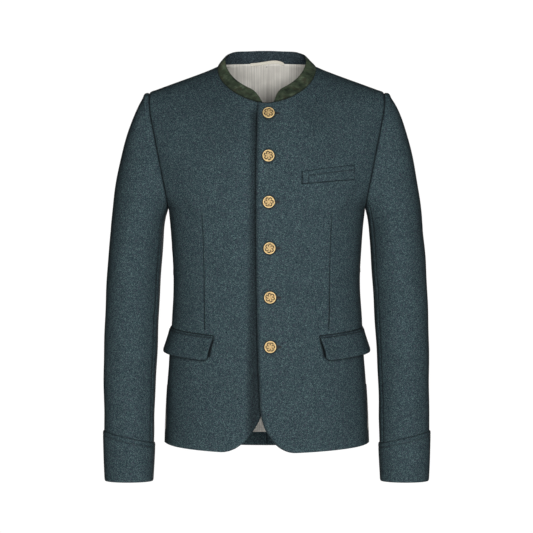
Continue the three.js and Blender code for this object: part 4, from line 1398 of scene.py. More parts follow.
@dataclass
class Button:
    """Cast brass button: domed, with a corded rim and a rosette of leaves in relief."""

    radius: float = 10.5 * MM
    standoff: float = 1.4 * MM
    rim_height: float = 2.2 * MM
    dome: float = 2.9 * MM
    shank: float = 2.4 * MM
    gap: float = 0.4 * MM
    turns: int = 120
    rings: int = 64
    leaves: int = 6

    def ornament(self, share: Array, turn: Array) -> tuple[Array, Array]:
        """Height of the ornament and depth of its engraved lines.

        Six leaves, their outline a root of a cosine of the turn, stand a little above the ground.
        Lines run round them and along their veins, and a corded rim lies outside a plain ring.

        Args:
            share: distance from the axis as a share of the radius.
            turn: angle round the axis.

        Returns:
            Heights in metres, and line depths from 0 to 1.
        """
        leaf = np.abs(np.cos(turn * self.leaves / 2)) ** 0.7
        outline = 0.24 + 0.5 * leaf
        petal = ease(outline - share, 0, 0.12) * ease(share, 0.1, 0.22)
        vein = bump(np.sin(turn * self.leaves / 2 + 3 * share), 0.2) * ease(share, 0.16, 0.3)
        vein = vein * (1 - ease(share, 0.62, 0.72))
        cross = bump(np.sin(share * 26 + 2 * np.cos(turn * 3)), 0.4) * (1 - ease(share, 0.7, 0.78))
        ring = bump(share - 0.8, 0.03)
        lines = np.clip(bump(outline - share, 0.08) + 0.9 * vein + 0.8 * cross + 0.9 * ring, 0, 1)
        cord = bump(share - 0.91, 0.05) * (0.8 + 0.2 * np.cos(turn * 44 + share * 20))
        return MM * (0.22 * petal - 0.14 * lines + 0.3 * cord), lines

    def shell(self) -> tuple[Array, Array, Array]:
        """Vertices, quads and wear with painted shade of the closed button about +Z, from its shank to its
        face.

        A profile of radius and height is turned about the axis. On the face the height is a
        shallow dome plus the relief.
        """
        top = self.standoff + self.rim_height
        under = np.array([
            (0, 0), (0.5, 0), (0.98, 0), (1, 0.1), (1, 0.8), (1.06, 1),
            (2, 1.05), (3.6, 1.15), (4.2, 1.3), (4.37, 1.6),
        ])
        r_under = under[:, 0] * self.shank
        z_under = np.where(under[:, 1] <= 1, self.gap + under[:, 1] * (self.standoff - self.gap), 0)
        z_under = np.where(under[:, 1] > 1, self.standoff + (under[:, 1] - 1) * 1.2 * MM, z_under)
        share = np.linspace(1, 0, self.rings)
        r = np.concatenate([r_under, share * self.radius])[:, None]
        turn = np.linspace(0, 2 * math.pi, self.turns, endpoint=False)[None, :]
        face = top - 0.9 * MM * ease(share, 0.9, 1.0) + (self.dome - self.rim_height) * (1 - share**2)
        z = np.concatenate([z_under, face])[:, None] + np.zeros_like(turn)
        raised, lines = self.ornament(share[:, None], turn)
        inside = 1 - ease(share[:, None], 0.94, 1.0)
        z[len(under) :] += raised * inside
        # Wear and painted shadow: the outer rim is darkened and the underside set to 0 below, so both take
        # the recess colour as painted shadow.
        rubbed = mix(0.62, 1.0, ease(share[:, None], 0.8, 0.88)) * (0.15 + 0.85 * inside)
        wear_and_shade = np.concatenate([np.zeros((len(under), self.turns)), (1 - lines) * rubbed])
        vertices = np.stack(np.broadcast_arrays(r * np.cos(turn), r * np.sin(turn), z), axis=-1)
        index = np.arange(vertices.shape[0] * self.turns).reshape(vertices.shape[:2])
        return vertices.reshape(-1, 3), grid_faces(index, True), wear_and_shade.ravel()

    def build(self, name: str, seat: Array, out: Array, turn: float) -> bpy.types.Object:
        """One button on its seat, facing out and turned a little about its own axis."""
        vertices, faces, wear_and_shade = self.shell()
        across = unit(np.cross(np.array([0.0, 0.0, 1.0]), out)) * -1
        up = np.cross(out, across)
        right = across * math.cos(turn) + up * math.sin(turn)
        frame = np.stack([right, np.cross(out, right), out])
        piece = mesh_object(name, vertices @ frame + seat, faces)
        write_attribute(piece, "relief", wear_and_shade)
        close_poles(piece)
        return piece


def close_poles(piece: bpy.types.Object) -> None:
    """Join the points that a turned surface leaves on its axis."""
    mesh = bmesh.new()
    mesh.from_mesh(piece.data)
    bmesh.ops.remove_doubles(mesh, verts=mesh.verts, dist=1e-6)
    mesh.to_mesh(piece.data)
    mesh.free()


@dataclass
class Buttonhole:
    """Worked buttonhole: a cord of close stitches round a slit."""

    form: BodyForm
    reach: float = 19 * MM
    back: float = 3 * MM
    half_width: float = 1.9 * MM
    cord: float = 0.75 * MM

    def ring(self, x: float, z: float) -> tuple[Array, Array]:
        """Closed cord along a long loop, widened to an eye at its far end, with stitch ribs."""
        turn = np.linspace(0, 2 * math.pi, 240, endpoint=False)
        along_x = (self.reach - self.back) / 2
        middle = x + (self.reach + self.back) / 2
        flat = np.sign(np.cos(turn)) * np.abs(np.cos(turn)) ** 0.6
        place_x = middle + along_x * flat
        place_z = z + self.half_width * np.sign(np.sin(turn)) * np.abs(np.sin(turn)) ** 0.7
        points, out = on_front(self.form, place_x, place_z, np.full(turn.shape, 0.25 * MM))
        ahead = unit(np.roll(points, -1, axis=0) - np.roll(points, 1, axis=0))
        side = unit(np.cross(ahead, out))
        around = np.linspace(0, 2 * math.pi, 10, endpoint=False)
        rib = self.cord * (1 + 0.14 * np.cos(np.arange(240) * math.pi))[:, None, None]
        sideways = np.cos(around)[None, :, None] * side[:, None] * rib
        outward = np.sin(around)[None, :, None] * out[:, None] * rib * 0.7
        vertices = points[:, None] + (sideways + outward)
        index = np.arange(vertices.shape[0] * 10).reshape(240, 10)
        closed = np.concatenate([index, index[:1]])
        return vertices.reshape(-1, 3), grid_faces(closed, True)

    def slit(self, x: float, z: float) -> tuple[Array, Array]:
        """Dark lens of the slit inside the cord, a sheet painted as the shadow in the opening."""
        along_x = np.linspace(self.back, self.reach, 30)
        half = 1.3 * MM * np.sqrt(np.clip(1 - np.linspace(-1, 1, 30) ** 4, 0, 1))
        up = np.array([-1, -0.5, 0, 0.5, 1])[:, None]
        place_x = np.broadcast_to(x + along_x, (5, 30))
        grid, _ = on_front(self.form, place_x, z + up * half, np.full((5, 30), 0.3 * MM))
        return grid.reshape(-1, 3), grid_faces(np.arange(150).reshape(5, 30), False)


# Finishes


class Nodes:
    """Short way to add and join nodes of one tree."""

    def __init__(self, tree: NodeTree) -> None:
        """Start on an empty tree."""
        self.tree = tree
        tree.nodes.clear()

    def add(self, kind: str, values: dict[str, object] | None = None, **settings: object) -> bpy.types.Node:
        """Add a node.

        Args:
            kind: type name of the node.
            values: input name to a value, or to a socket that feeds it.
            settings: properties of the node.

        Returns:
            The node.
        """
        node = self.tree.nodes.new(kind)
        for key, value in settings.items():
            setattr(node, key, value)
        for key, value in (values or {}).items():
            target = node.inputs[key]
            if isinstance(value, bpy.types.NodeSocket):
                self.tree.links.new(value, target)
            else:
                target.default_value = value
        return node

    def math(self, operation: str, first: object, second: object = 0.0, clamp: bool = False) -> Socket:
        """Arithmetic on two values or sockets."""
        values = {0: first, 1: second}
        return self.add("ShaderNodeMath", values, operation=operation, use_clamp=clamp).outputs[0]

    def noise(self, vector: Socket, scale: float, detail: float = 2.0, roughness: float = 0.5) -> Socket:
        """Noise value at a scale per metre."""
        values = {"Vector": vector, "Scale": scale, "Detail": detail, "Roughness": roughness}
        return self.add("ShaderNodeTexNoise", values).outputs["Fac"]

    def ramp(self, value: Socket, low: float, high: float) -> Socket:
        """Value stretched so that low gives 0 and high gives 1."""
        values = {"Value": value, "From Min": low, "From Max": high}
        return self.add("ShaderNodeMapRange", values, interpolation_type="SMOOTHSTEP").outputs["Result"]

    def blend(self, share: object, first: object, second: object, how: str = "MIX") -> Socket:
        """Mix of two colours."""
        node = self.add("ShaderNodeMix", data_type="RGBA", blend_type=how)
        for index, value in ((0, share), (6, first), (7, second)):
            if isinstance(value, bpy.types.NodeSocket):
                self.tree.links.new(value, node.inputs[index])
            else:
                node.inputs[index].default_value = value
        return node.outputs[2]


def colour(red: int, green: int, blue: int) -> tuple[float, float, float, float]:
    """Linear colour of an 8-bit display colour."""
    parts = [value / 255 for value in (red, green, blue)]
    linear = [p / 12.92 if p <= 0.04045 else ((p + 0.055) / 1.055) ** 2.4 for p in parts]
    return (*linear, 1.0)


def new_material(name: str) -> tuple[bpy.types.Material, Nodes]:
    """Material with an empty node tree, and a helper on that tree."""
    material = bpy.data.materials.new(name)
    material.use_nodes = True
    return material, Nodes(material.node_tree)


def new_group(
    name: str, inputs: dict[str, str], outputs: dict[str, str]
) -> tuple[NodeTree, Nodes, object, object]:
    """Shader node group with its interface, its helper and its end nodes.

    Args:
        name: name of the group.
        inputs: input name to socket type.
        outputs: output name to socket type.

    Returns:
        The group, a helper on it, the outputs of its input node, and the inputs of its output node.
    """
    group = bpy.data.node_groups.new(name, "ShaderNodeTree")
    for direction, sockets in (("INPUT", inputs), ("OUTPUT", outputs)):
        for label, kind in sockets.items():
            group.interface.new_socket(label, in_out=direction, socket_type=kind)
    nodes = Nodes(group)
    start = nodes.add("NodeGroupInput")
    end = nodes.add("NodeGroupOutput")
    return group, nodes, start.outputs, end.inputs


COLOR, FLOAT, VECTOR = "NodeSocketColor", "NodeSocketFloat", "NodeSocketVector"
NAP = {"Vector": VECTOR, "Dark": COLOR, "Middle": COLOR, "Light": COLOR, "Tint": COLOR}
SURFACE = {"Color": COLOR, "Roughness": FLOAT, "Height": FLOAT}
# Colour and share of painted shade, and where Layer Weight begins painting shade toward the outline.
PAINTED_SHADE_COLOUR = (8, 11, 14)
PAINTED_SHADE_SHARE = 0.88
OUTLINE_SHADE_FROM = 0.45
OUTLINE_SHADE_SHARE = 0.6


def fleece_group() -> NodeTree:
    """Milled wool: mixed light and dark fibres, felted over, with soft cloudy unevenness."""
    group, n, start, end = new_group("felted_wool", NAP, SURFACE)
    vector = start["Vector"]
    bend = n.add("ShaderNodeTexNoise", {"Vector": vector, "Scale": 420.0, "Detail": 2.0}).outputs["Color"]
    bent = n.add("ShaderNodeVectorMath", {0: bend, "Scale": 0.0032}, operation="SCALE").outputs[0]
    bent = n.add("ShaderNodeVectorMath", {0: vector, 1: bent}, operation="ADD").outputs[0]
    fleck = n.noise(bent, 880, 2.0, 0.6)
    fine = n.noise(bent, 2000, 2.0, 0.6)
    tuft = n.noise(vector, 380, 2.0, 0.55)
    cloud = n.noise(vector, 26, 3.0, 0.55)
    tint = n.noise(bent, 610, 2.0, 0.6)
    tone = n.math("ADD", n.math("MULTIPLY", fleck, 0.52), n.math("MULTIPLY", fine, 0.34))
    tone = n.math("ADD", tone, n.math("MULTIPLY", tuft, 0.14))
    base = n.blend(n.ramp(tone, 0.39, 0.5), start["Dark"], start["Middle"])
    base = n.blend(n.ramp(tone, 0.5, 0.61), base, start["Light"])
    base = n.blend(n.math("MULTIPLY", n.ramp(tint, 0.5, 0.7), 0.55), base, start["Tint"])
    shade = n.math("ADD", n.math("MULTIPLY", cloud, 0.24), 0.88)
    scale = n.add("ShaderNodeCombineColor", {0: shade, 1: shade, 2: shade}).outputs[0]
    n.tree.links.new(n.blend(1.0, base, scale, "MULTIPLY"), end["Color"])
    n.tree.links.new(n.math("ADD", n.math("MULTIPLY", tone, 0.14), 0.84), end["Roughness"])
    height = n.math("ADD", n.math("MULTIPLY", fleck, 0.5), n.math("MULTIPLY", tuft, 0.7))
    n.tree.links.new(n.math("ADD", height, n.math("MULTIPLY", fine, 0.22)), end["Height"])
    return group


def suede_group() -> NodeTree:
    """Suede: a short nap with patches brushed lighter and darker, and fine creases."""
    group, n, start, end = new_group("suede", NAP, SURFACE)
    vector = start["Vector"]
    nap = n.noise(vector, 1700, 3.0, 0.6)
    patch = n.noise(vector, 62, 5.0, 0.68)
    stain = n.noise(vector, 58, 3.0, 0.6)
    crease = n.noise(vector, 240, 4.0, 0.7)
    base = n.blend(n.ramp(patch, 0.34, 0.52), start["Dark"], start["Middle"])
    base = n.blend(n.ramp(patch, 0.5, 0.72), base, start["Light"])
    base = n.blend(n.math("MULTIPLY", n.ramp(stain, 0.52, 0.68), 0.6), base, start["Tint"])
    shade = n.math("ADD", n.math("MULTIPLY", nap, 1.2), n.math("MULTIPLY", crease, 0.9))
    scale = n.add("ShaderNodeCombineColor", {0: shade, 1: shade, 2: shade}).outputs[0]
    n.tree.links.new(n.blend(1.0, base, scale, "MULTIPLY"), end["Color"])
    n.tree.links.new(n.math("ADD", n.math("MULTIPLY", patch, 0.2), 0.74), end["Roughness"])
    height = n.math("ADD", n.math("MULTIPLY", crease, 0.7), n.math("MULTIPLY", nap, 0.4))
    n.tree.links.new(height, end["Height"])
    return group


@dataclass(frozen=True)
class Cloth:
    """Napped finish built on one of the shared groups."""

    name: str
    group: str
    dark: tuple[int, int, int]
    middle: tuple[int, int, int]
    light: tuple[int, int, int]
    tint: tuple[int, int, int]
    sheen: float
    bump: float

    def material(self, groups: dict[str, NodeTree]) -> bpy.types.Material:
        """Material whose colour, roughness and bump come from the group.

        Two masks paint shade into the colour: the piece's own painted shade attribute for seams,
        grooves and contact shadows, and Layer Weight toward the outline, a painted fall-off of
        light at the silhouette. The second follows the view, so it slides when the camera moves.

        Args:
            groups: shared node groups by name.

        Returns:
            The material.
        """
        material, n = new_material(self.name)
        place = n.add("ShaderNodeTexCoord").outputs["Object"]
        node = n.add("ShaderNodeGroup", node_tree=groups[self.group])
        n.tree.links.new(place, node.inputs["Vector"])
        # Painted shade from the per-vertex attribute: seams, grooves and contact shadows.
        pressed = n.add("ShaderNodeAttribute", attribute_name="pressed").outputs["Fac"]
        pressed = n.math("MULTIPLY", pressed, PAINTED_SHADE_SHARE)
        base = n.blend(pressed, node.outputs["Color"], colour(*PAINTED_SHADE_COLOUR))
        # Painted shade: Layer Weight darkens the colour toward the outline, as if the light fell off there.
        facing = n.add("ShaderNodeLayerWeight", {"Blend": 0.5}).outputs["Facing"]
        outline = n.math("MULTIPLY", n.ramp(facing, OUTLINE_SHADE_FROM, 1.0), OUTLINE_SHADE_SHARE)
        base = n.blend(outline, base, colour(*PAINTED_SHADE_COLOUR))
        colours = {"Dark": self.dark, "Middle": self.middle, "Light": self.light, "Tint": self.tint}
        for label, value in colours.items():
            node.inputs[label].default_value = colour(*value)
        relief = {"Height": node.outputs["Height"], "Distance": self.bump, "Strength": 1.0}
        raised = n.add("ShaderNodeBump", relief)
        shader = n.add("ShaderNodeBsdfPrincipled", {
            "Base Color": base,
            "Roughness": node.outputs["Roughness"],
            "Normal": raised.outputs[0],
            "Specular IOR Level": 0.12,
            "Sheen Weight": self.sheen,
            "Sheen Roughness": 0.45,
            "Sheen Tint": colour(190, 205, 205),
        })
        n.add("ShaderNodeOutputMaterial", {"Surface": shader.outputs[0]})
        return material


@dataclass(frozen=True)
class Lining:
    """Smooth striped lining of the back in a pale grey beige."""

    name: str = "striped_lining"
    ground: tuple[int, int, int] = (214, 211, 203)
    stripe: tuple[int, int, int] = (150, 146, 140)
    broad: float = 420
    narrow: float = 760
    twill: float = 0.5 * MM

    def material(self) -> bpy.types.Material:
        """Upright stripes of uneven width, two noises of Object X and a little of Z, over a fine twill."""
        material, n = new_material(self.name)
        uv = n.add("ShaderNodeUVMap", uv_map="cloth").outputs[0]
        across = n.add("ShaderNodeSeparateXYZ", {0: uv}).outputs
        place = n.add("ShaderNodeSeparateXYZ", {0: n.add("ShaderNodeTexCoord").outputs["Object"]}).outputs
        drift = n.math("MULTIPLY", place[2], 0.01)
        streak = n.add("ShaderNodeCombineXYZ", {0: place[0], 1: drift}).outputs[0]
        broad, narrow = n.noise(streak, self.broad, 2.0), n.noise(streak, self.narrow, 1.0)
        line = n.math("ADD", n.math("MULTIPLY", broad, 0.5), n.math("MULTIPLY", narrow, 0.5))
        line = n.ramp(line, 0.42, 0.6)
        slanted = n.math("ADD", across[0], across[1])
        twill = n.math("SINE", n.math("MULTIPLY", slanted, 2 * math.pi / self.twill))
        cloud = n.noise(uv, 40, 2.0)
        base = n.blend(n.math("MULTIPLY", line, 0.6), colour(*self.ground), colour(*self.stripe))
        base = n.blend(n.math("MULTIPLY", n.ramp(cloud, 0.3, 0.7), 0.25), base, colour(*self.stripe))
        raised = n.add("ShaderNodeBump", {"Height": twill, "Distance": 0.00004, "Strength": 0.6})
        rough = n.math("ADD", n.math("MULTIPLY", cloud, 0.2), 0.42)
        shader = n.add("ShaderNodeBsdfPrincipled", {
            "Base Color": base, "Roughness": rough, "Normal": raised.outputs[0], "Specular IOR Level": 0.45,
        })
        n.add("ShaderNodeOutputMaterial", {"Surface": shader.outputs[0]})
        return material


@dataclass(frozen=True)
class Twisted:
    """Tape or sewing thread: fine ribs over one colour that varies a little."""

    name: str
    ground: tuple[int, int, int]
    shade: tuple[int, int, int]
    rib: float

    def material(self) -> bpy.types.Material:
        """Ribs along Object X and noise for the yarn's unevenness."""
        material, n = new_material(self.name)
        place = n.add("ShaderNodeTexCoord").outputs["Object"]
        parts = n.add("ShaderNodeSeparateXYZ", {0: place}).outputs
        run = n.math("ADD", parts[0], n.math("MULTIPLY", parts[2], 0.6))
        ribs = n.math("SINE", n.math("MULTIPLY", run, 2 * math.pi / self.rib))
        yarn = n.noise(place, 900, 2.0)
        share = n.math("ADD", n.math("MULTIPLY", n.ramp(ribs, -1, 1), 0.4), n.math("MULTIPLY", yarn, 0.6))
        base = n.blend(share, colour(*self.shade), colour(*self.ground))
        raised = n.add("ShaderNodeBump", {"Height": share, "Distance": 0.0001, "Strength": 0.8})
        shader = n.add("ShaderNodeBsdfPrincipled", {
            "Base Color": base, "Roughness": n.math("ADD", n.math("MULTIPLY", yarn, 0.2), 0.6),
            "Normal": raised.outputs[0], "Specular IOR Level": 0.3,
        })
        n.add("ShaderNodeOutputMaterial", {"Surface": shader.outputs[0]})
        return material


@dataclass(frozen=True)
class Brass:
    """Antique brass: darkened in the recesses, brighter where it is rubbed; the recess colour also paints
    shadow at the rim.
    """

    name: str = "antique_brass"
    bright: tuple[int, int, int] = (226, 198, 142)
    dull: tuple[int, int, int] = (168, 140, 94)
    recess_and_shade: tuple[int, int, int] = (38, 30, 20)

    def material(self) -> bpy.types.Material:
        """Colour by wear and painted shade: the piece's own relief attribute with noise."""
        material, n = new_material(self.name)
        place = n.add("ShaderNodeTexCoord").outputs["Object"]
        relief = n.add("ShaderNodeAttribute", attribute_name="relief").outputs["Fac"]
        spots = n.noise(place, 700, 3.0, 0.6)
        wear_and_shade = n.math("ADD", relief, n.math("MULTIPLY", n.math("SUBTRACT", spots, 0.5), 0.5), True)
        base = n.blend(n.ramp(wear_and_shade, 0.12, 0.42), colour(*self.recess_and_shade), colour(*self.dull))
        base = n.blend(n.ramp(wear_and_shade, 0.42, 0.85), base, colour(*self.bright))
        rough = n.math("SUBTRACT", 0.78, n.math("MULTIPLY", wear_and_shade, 0.18))
        raised = n.add("ShaderNodeBump", {"Height": spots, "Distance": 0.00008, "Strength": 0.5})
        shader = n.add("ShaderNodeBsdfPrincipled", {
            "Base Color": base, "Roughness": rough, "Normal": raised.outputs[0], "Metallic": 0.4,
        })
        n.add("ShaderNodeOutputMaterial", {"Surface": shader.outputs[0]})
        return material


# Studio


@dataclass(frozen=True)
class Studio:
    """Camera, lights, floor and backdrop."""

    distance: float = 5.0
    view_x: float = -0.0005
    view_z: float = -0.353
    frame_width: float = 0.9487
    sensor: float = 36.0
    floor_z: float = -1.5
    ambient: float = 0.04
    backdrop: float = 1.02
    floor_glow: float = 0.7

    def camera(self) -> None:
        """Level camera straight in front, far enough for the photograph's flat perspective."""
        data = bpy.data.cameras.new("camera")
        data.sensor_width = self.sensor
        data.lens = self.sensor * self.distance / self.frame_width
        data.clip_end = 50.0
        camera = bpy.data.objects.new("camera", data)
        camera.location = (self.view_x, -self.distance, self.view_z)
        camera.rotation_euler = (math.pi / 2, 0, 0)
        bpy.context.scene.collection.objects.link(camera)
        bpy.context.scene.camera = camera

    def light(
        self, name: str, place: Sequence[float], target: Sequence[float], size: float, power: float
    ) -> None:
        """Square soft light aimed at a target."""
        data = bpy.data.lights.new(name, "AREA")
        data.size = size
        data.energy = power
        lamp = bpy.data.objects.new(name, data)
        lamp.location = place
        aim = Vector(target) - Vector(place)
        lamp.rotation_euler = aim.to_track_quat("-Z", "Y").to_euler()
        bpy.context.scene.collection.objects.link(lamp)

    def surroundings(self) -> None:
        """World that looks white and lights dimly, and a wide flat floor below that looks pale."""
        world = bpy.data.worlds.new("studio")
        world.use_nodes = True
        n = Nodes(world.node_tree)
        seen = n.add("ShaderNodeLightPath").outputs["Is Camera Ray"]
        strength = n.math("ADD", n.math("MULTIPLY", seen, self.backdrop - self.ambient), self.ambient)
        background = n.add("ShaderNodeBackground", {"Color": (1.0, 1.0, 1.0, 1.0), "Strength": strength})
        n.add("ShaderNodeOutputWorld", {"Surface": background.outputs[0]})
        bpy.context.scene.world = world
        side = np.linspace(-6, 6, 9)
        height = np.full((9, 9), self.floor_z)
        grid = np.stack([*np.meshgrid(side, side), height], axis=-1)
        faces = grid_faces(np.arange(81).reshape(9, 9), False)
        stage = mesh_object("floor", grid.reshape(-1, 3), faces)
        material, n = new_material("pale_floor")
        place = n.add("ShaderNodeTexCoord").outputs["Object"]
        tone = n.blend(n.noise(place, 3, 2.0), (0.93, 0.93, 0.93, 1), (0.96, 0.96, 0.96, 1))
        seen = n.add("ShaderNodeLightPath").outputs["Is Camera Ray"]
        shader = n.add("ShaderNodeBsdfPrincipled", {
            "Base Color": tone, "Roughness": 0.9, "Specular IOR Level": 0.1,
            "Emission Color": (1.0, 1.0, 1.0, 1.0),
            "Emission Strength": n.math("MULTIPLY", seen, self.floor_glow),
        })
        n.add("ShaderNodeOutputMaterial", {"Surface": shader.outputs[0]})
        stage.data.materials.append(material)

    def build(self) -> None:
        """Make the whole studio."""
        bpy.context.scene.view_settings.view_transform = "Standard"
        self.camera()
        middle = (0, 0, self.view_z)
        self.light("key", (1.1, -4.8, 0.1), middle, 1.5, 196)
        self.light("fill", (-1.1, -4.8, -0.4), middle, 1.5, 112)
        self.light("back", (0.6, 4.8, 0.0), middle, 2.0, 120)
        self.surroundings()


# Folds, listed one by one: across, height, turn from level, half length, half width, height


def folds_of(table: Sequence[Sequence[float]]) -> list[Fold]:
    """Folds from rows in millimetres and degrees."""
    return [Fold(x * MM, z * MM, turn, a * MM, b * MM, h * MM) for x, z, turn, a, b, h in table]


LEFT_FRONT_FOLDS = (
    (152, -228, 62, 44, 9, -1.8),
    (138, -240, 66, 40, 9, 1.3),
    (74, -424, -14, 60, 14, 1.0),
    (124, -560, 84, 80, 16, 0.9),
    (40, -610, 80, 60, 18, -0.8),
    (60, -90, -40, 40, 14, 0.7),
)
RIGHT_FRONT_FOLDS = (
    (148, -236, 58, 50, 10, -1.9),
    (132, -246, 62, 38, 9, 1.4),
    (66, -392, -18, 54, 13, 1.0),
    (132, -548, 78, 84, 15, 0.9),
    (58, -600, 86, 60, 16, -0.9),
)
BACK_FOLDS = (
    (150, -232, 60, 50, 12, -2.0),
    (110, -330, 10, 70, 16, 1.1),
    (60, -385, -6, 60, 14, -1.2),
    (96, -560, 84, 110, 22, 1.4),
    (40, -590, 86, 90, 20, -1.0),
)
SLEEVE_FOLDS = {
    Hand.LEFT: (
        (60, -372, 28, 46, 10, -1.6),
        (82, -398, 24, 44, 10, 1.3),
        (58, -425, 20, 42, 9, -1.4),
        (90, -500, 60, 60, 13, 0.9),
        (70, -590, -24, 40, 9, -1.1),
        (96, -612, -20, 36, 9, 0.9),
    ),
    Hand.RIGHT: (
        (66, -362, 24, 44, 10, -1.5),
        (84, -392, 28, 46, 10, 1.4),
        (60, -430, 18, 44, 10, -1.5),
        (94, -520, 64, 60, 13, 1.0),
        (66, -580, -22, 42, 9, -1.2),
        (98, -606, -26, 38, 9, 0.8),
    ),
}


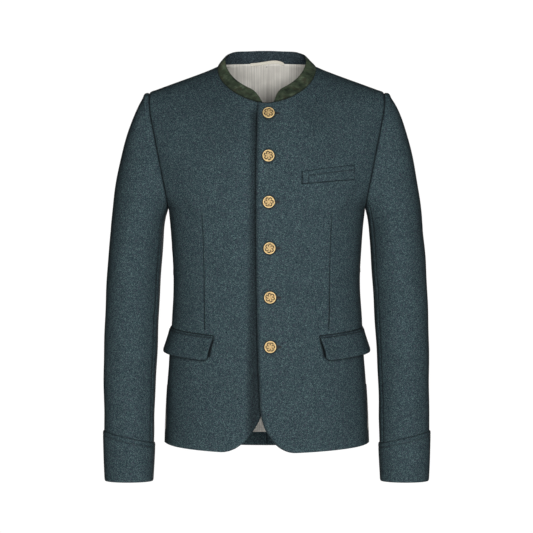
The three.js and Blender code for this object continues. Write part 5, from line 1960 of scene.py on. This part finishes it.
@dataclass
class Jacket:
    """Every piece of the jacket, built in the order that it is sewn."""

    form: BodyForm = field(default_factory=BodyForm)
    lap_sink: float = 6 * MM
    lap_shade: float = 0.75
    edge_shade: float = 0.6
    edge_reach: float = 6 * MM
    ring_shade: float = 0.95
    ring_width: float = 1.8 * MM

    def __post_init__(self) -> None:
        """Lay out the body and make the finishes."""
        self.body = Body(self.form)
        groups = {"fleece": fleece_group(), "suede": suede_group()}
        wool = Cloth(
            "milled_wool", "fleece", (6, 15, 21), (34, 50, 56), (84, 106, 105), (60, 49, 66),
            0.0, 0.0005,
        )
        # A darker copy of the wool for the collar's inside: painted shade of the neck hollow.
        inner = Cloth(
            "wool_painted_shade", "fleece", (2, 5, 9), (27, 37, 42), (74, 88, 94), (40, 38, 48),
            0.0, 0.0005,
        )
        suede = Cloth(
            "green_suede", "suede", (34, 43, 32), (57, 68, 52), (96, 109, 88), (62, 58, 43),
            0.05, 0.0004,
        )
        self.wool, self.inner = wool.material(groups), inner.material(groups)
        self.suede = suede.material(groups)
        self.lining, self.brass = Lining().material(), Brass().material()
        self.thread = Twisted("sewing_thread", (34, 45, 49), (18, 25, 28), 0.9 * MM).material()
        self.tape = Twisted("cotton_tape", (204, 200, 188), (160, 155, 142), 1.1 * MM).material()
        # Painted shadow for the buttonhole slits.
        self.slit = Twisted("slit_shadow", (18, 22, 26), (10, 12, 14), 0.9 * MM).material()

    def cloth(
        self, name: str, wall: Wall, material: bpy.types.Material, slot: str, rests_on: Sequence[str]
    ) -> None:
        piece = wall_object(name + "_cloth", wall)
        dress(piece, material, name)
        declare_sheet(wall)

    def build_body(self) -> None:
        """Two fronts and two back halves."""
        left = self.body.shaped("front_left", folds_of(LEFT_FRONT_FOLDS), 0.4)
        right = self.body.shaped("front_right", folds_of(RIGHT_FRONT_FOLDS), 2.9)
        under = self.lapped(right.grid)
        # Painted shade: the under front darkens where the upper front laps over it.
        right = replace(right.raised(-self.lap_sink * under), pressed=right.pressed + self.lap_shade * under)
        # Painted shadow along the upper front's closing edge and in rings round the buttons.
        edge = self.edge_shade * (1 - ease(border_distance(left.grid, Border.FIRST), 0, self.edge_reach))
        left = replace(left, pressed=left.pressed + edge + self.under_buttons(left.grid))
        flap = Flap(self.form)
        # Painted shadow on both fronts beside the flaps.
        left, right = (
            replace(wall, pressed=wall.pressed + flap.painted_shadow(wall.grid)) for wall in (left, right)
        )
        back = self.body.shaped("back", folds_of(BACK_FOLDS), 1.7)
        other = self.body.shaped("back", folds_of(BACK_FOLDS[:2]), 5.1)
        self.cloth("front_left", left, self.wool, "wool_cloth", ["back_left_cloth"])
        self.cloth("front_right", right.mirrored(), self.wool, "wool_cloth", ["back_right_cloth"])
        self.cloth("back_left", back, self.wool, "wool_cloth", ["front_left_cloth"])
        self.cloth("back_right", other.mirrored(), self.wool, "wool_cloth", ["front_right_cloth"])

    @staticmethod
    def lapped(grid: Array) -> Array:
        """Share by which the under front sinks: 1 where the upper front covers it, 0 some 15 mm beyond."""
        x, z = grid[..., 0], grid[..., 2]
        covered = 1 - ease(x - 6 * MM * ease(-z, 100 * MM, 600 * MM), 18 * MM, 34 * MM)
        return covered * (1 - ease(z, -90 * MM, -60 * MM))

    def under_buttons(self, grid: Array) -> Array:
        """Share of painted shadow round each button, as a ring at its rim."""
        radius, shares = Button().radius, np.zeros(grid.shape[:2])
        for x, z in BUTTON_PLACES:
            off = np.hypot(grid[..., 0] - (x + 0.5) * MM, grid[..., 2] - (z - 0.5) * MM)
            shares = np.maximum(shares, self.ring_shade * bump(off - radius, self.ring_width))
        return shares

    def build_sleeves(self) -> None:
        """Both sleeves, upper and under piece, and their cuffs."""
        sleeve = Sleeve(self.body.armhole)
        front, back = sleeve.under_front, sleeve.under_back
        for hand, seed in ((Hand.LEFT, 0.6), (Hand.RIGHT, 3.3)):
            upper = sleeve.wall_of(front, 1 - back, self.body.mitres, folds_of(SLEEVE_FOLDS[hand]), seed)
            under = sleeve.wall_of(-back, front, self.body.mitres, [], seed + 1)
            cuff = Cuff(sleeve).wall_of()
            walls = {"sleeve_{}_upper": upper, "sleeve_{}_under": under, "cuff_{}": cuff}
            for name, wall in walls.items():
                placed = wall if hand is Hand.LEFT else wall.mirrored()
                rests_on = [f"front_{hand.word}_cloth"]
                self.cloth(name.format(hand.word), placed, self.wool, "wool_cloth", rests_on)

    def build_collar(self) -> None:
        """Collar, lining and hanger loop."""
        outer, inner = Collar(self.body).walls()
        self.cloth("collar_outer", outer, self.suede, "collar_suede", ["back_left_cloth"])
        self.cloth("collar_inner", inner, self.inner, "wool_cloth", ["back_left_cloth"])
        inside = Inside(self.body)
        self.cloth("back_lining", inside.lining(), self.lining, "lining", ["back_left_cloth"])
        self.cloth("hanger_loop", inside.loop(), self.tape, "tape", ["back_lining_cloth"])

    def build_pockets(self) -> None:
        """Chest welt, hip flaps and their stitching."""
        welt, flap = Welt(self.form), Flap(self.form)
        self.cloth("chest_welt", welt.wall_of(), self.wool, "wool_cloth", ["front_left_cloth"])
        wall = flap.wall_of()
        self.cloth("flap_left", wall, self.wool, "wool_cloth", ["front_left_cloth"])
        self.cloth("flap_right", wall.mirrored(), self.wool, "wool_cloth", ["front_right_cloth"])
        points, out = flap.stitch_line()
        lines = [welt.stitch_line(), (points, out), (points * MIRROR, out * MIRROR)]
        dress(stitches("pocket_stitches", lines), self.thread)
        points, out = Cuff(Sleeve(self.body.armhole)).stitch_line()
        lines = [(points, out), (points * MIRROR, out * MIRROR)]
        dress(stitches("cuff_stitches", lines), self.thread)

    def build_buttons(self) -> None:
        """Six buttons and their worked buttonholes."""
        button, hole = Button(), Buttonhole(self.form)
        for index, (x, z) in enumerate(BUTTON_PLACES, start=1):
            place_x, place_z = np.array(x * MM), np.array(z * MM)
            seat, out = on_front(self.form, place_x, place_z, np.array(0.0))
            piece = button.build(f"button_{index}_cast", seat, out, 0.35 * index)
            dress(piece, self.brass, f"button_{index}")
            ring = mesh_object(f"buttonhole_{index}", *hole.ring(x * MM, z * MM))
            dress(ring, self.thread)
            slit = mesh_object(f"buttonhole_slit_{index}", *hole.slit(x * MM, z * MM))
            dress(slit, self.slit)

    def build(self) -> None:
        """Build every piece."""
        self.build_body()
        self.build_sleeves()
        self.build_collar()
        self.build_pockets()
        self.build_buttons()


def main() -> None:
    """Load the frame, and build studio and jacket."""
    logging.basicConfig(level=logging.INFO, format="%(name)s: %(message)s")
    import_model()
    Studio().build()
    Jacket().build()
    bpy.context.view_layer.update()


if __name__ == "__main__":
    main()
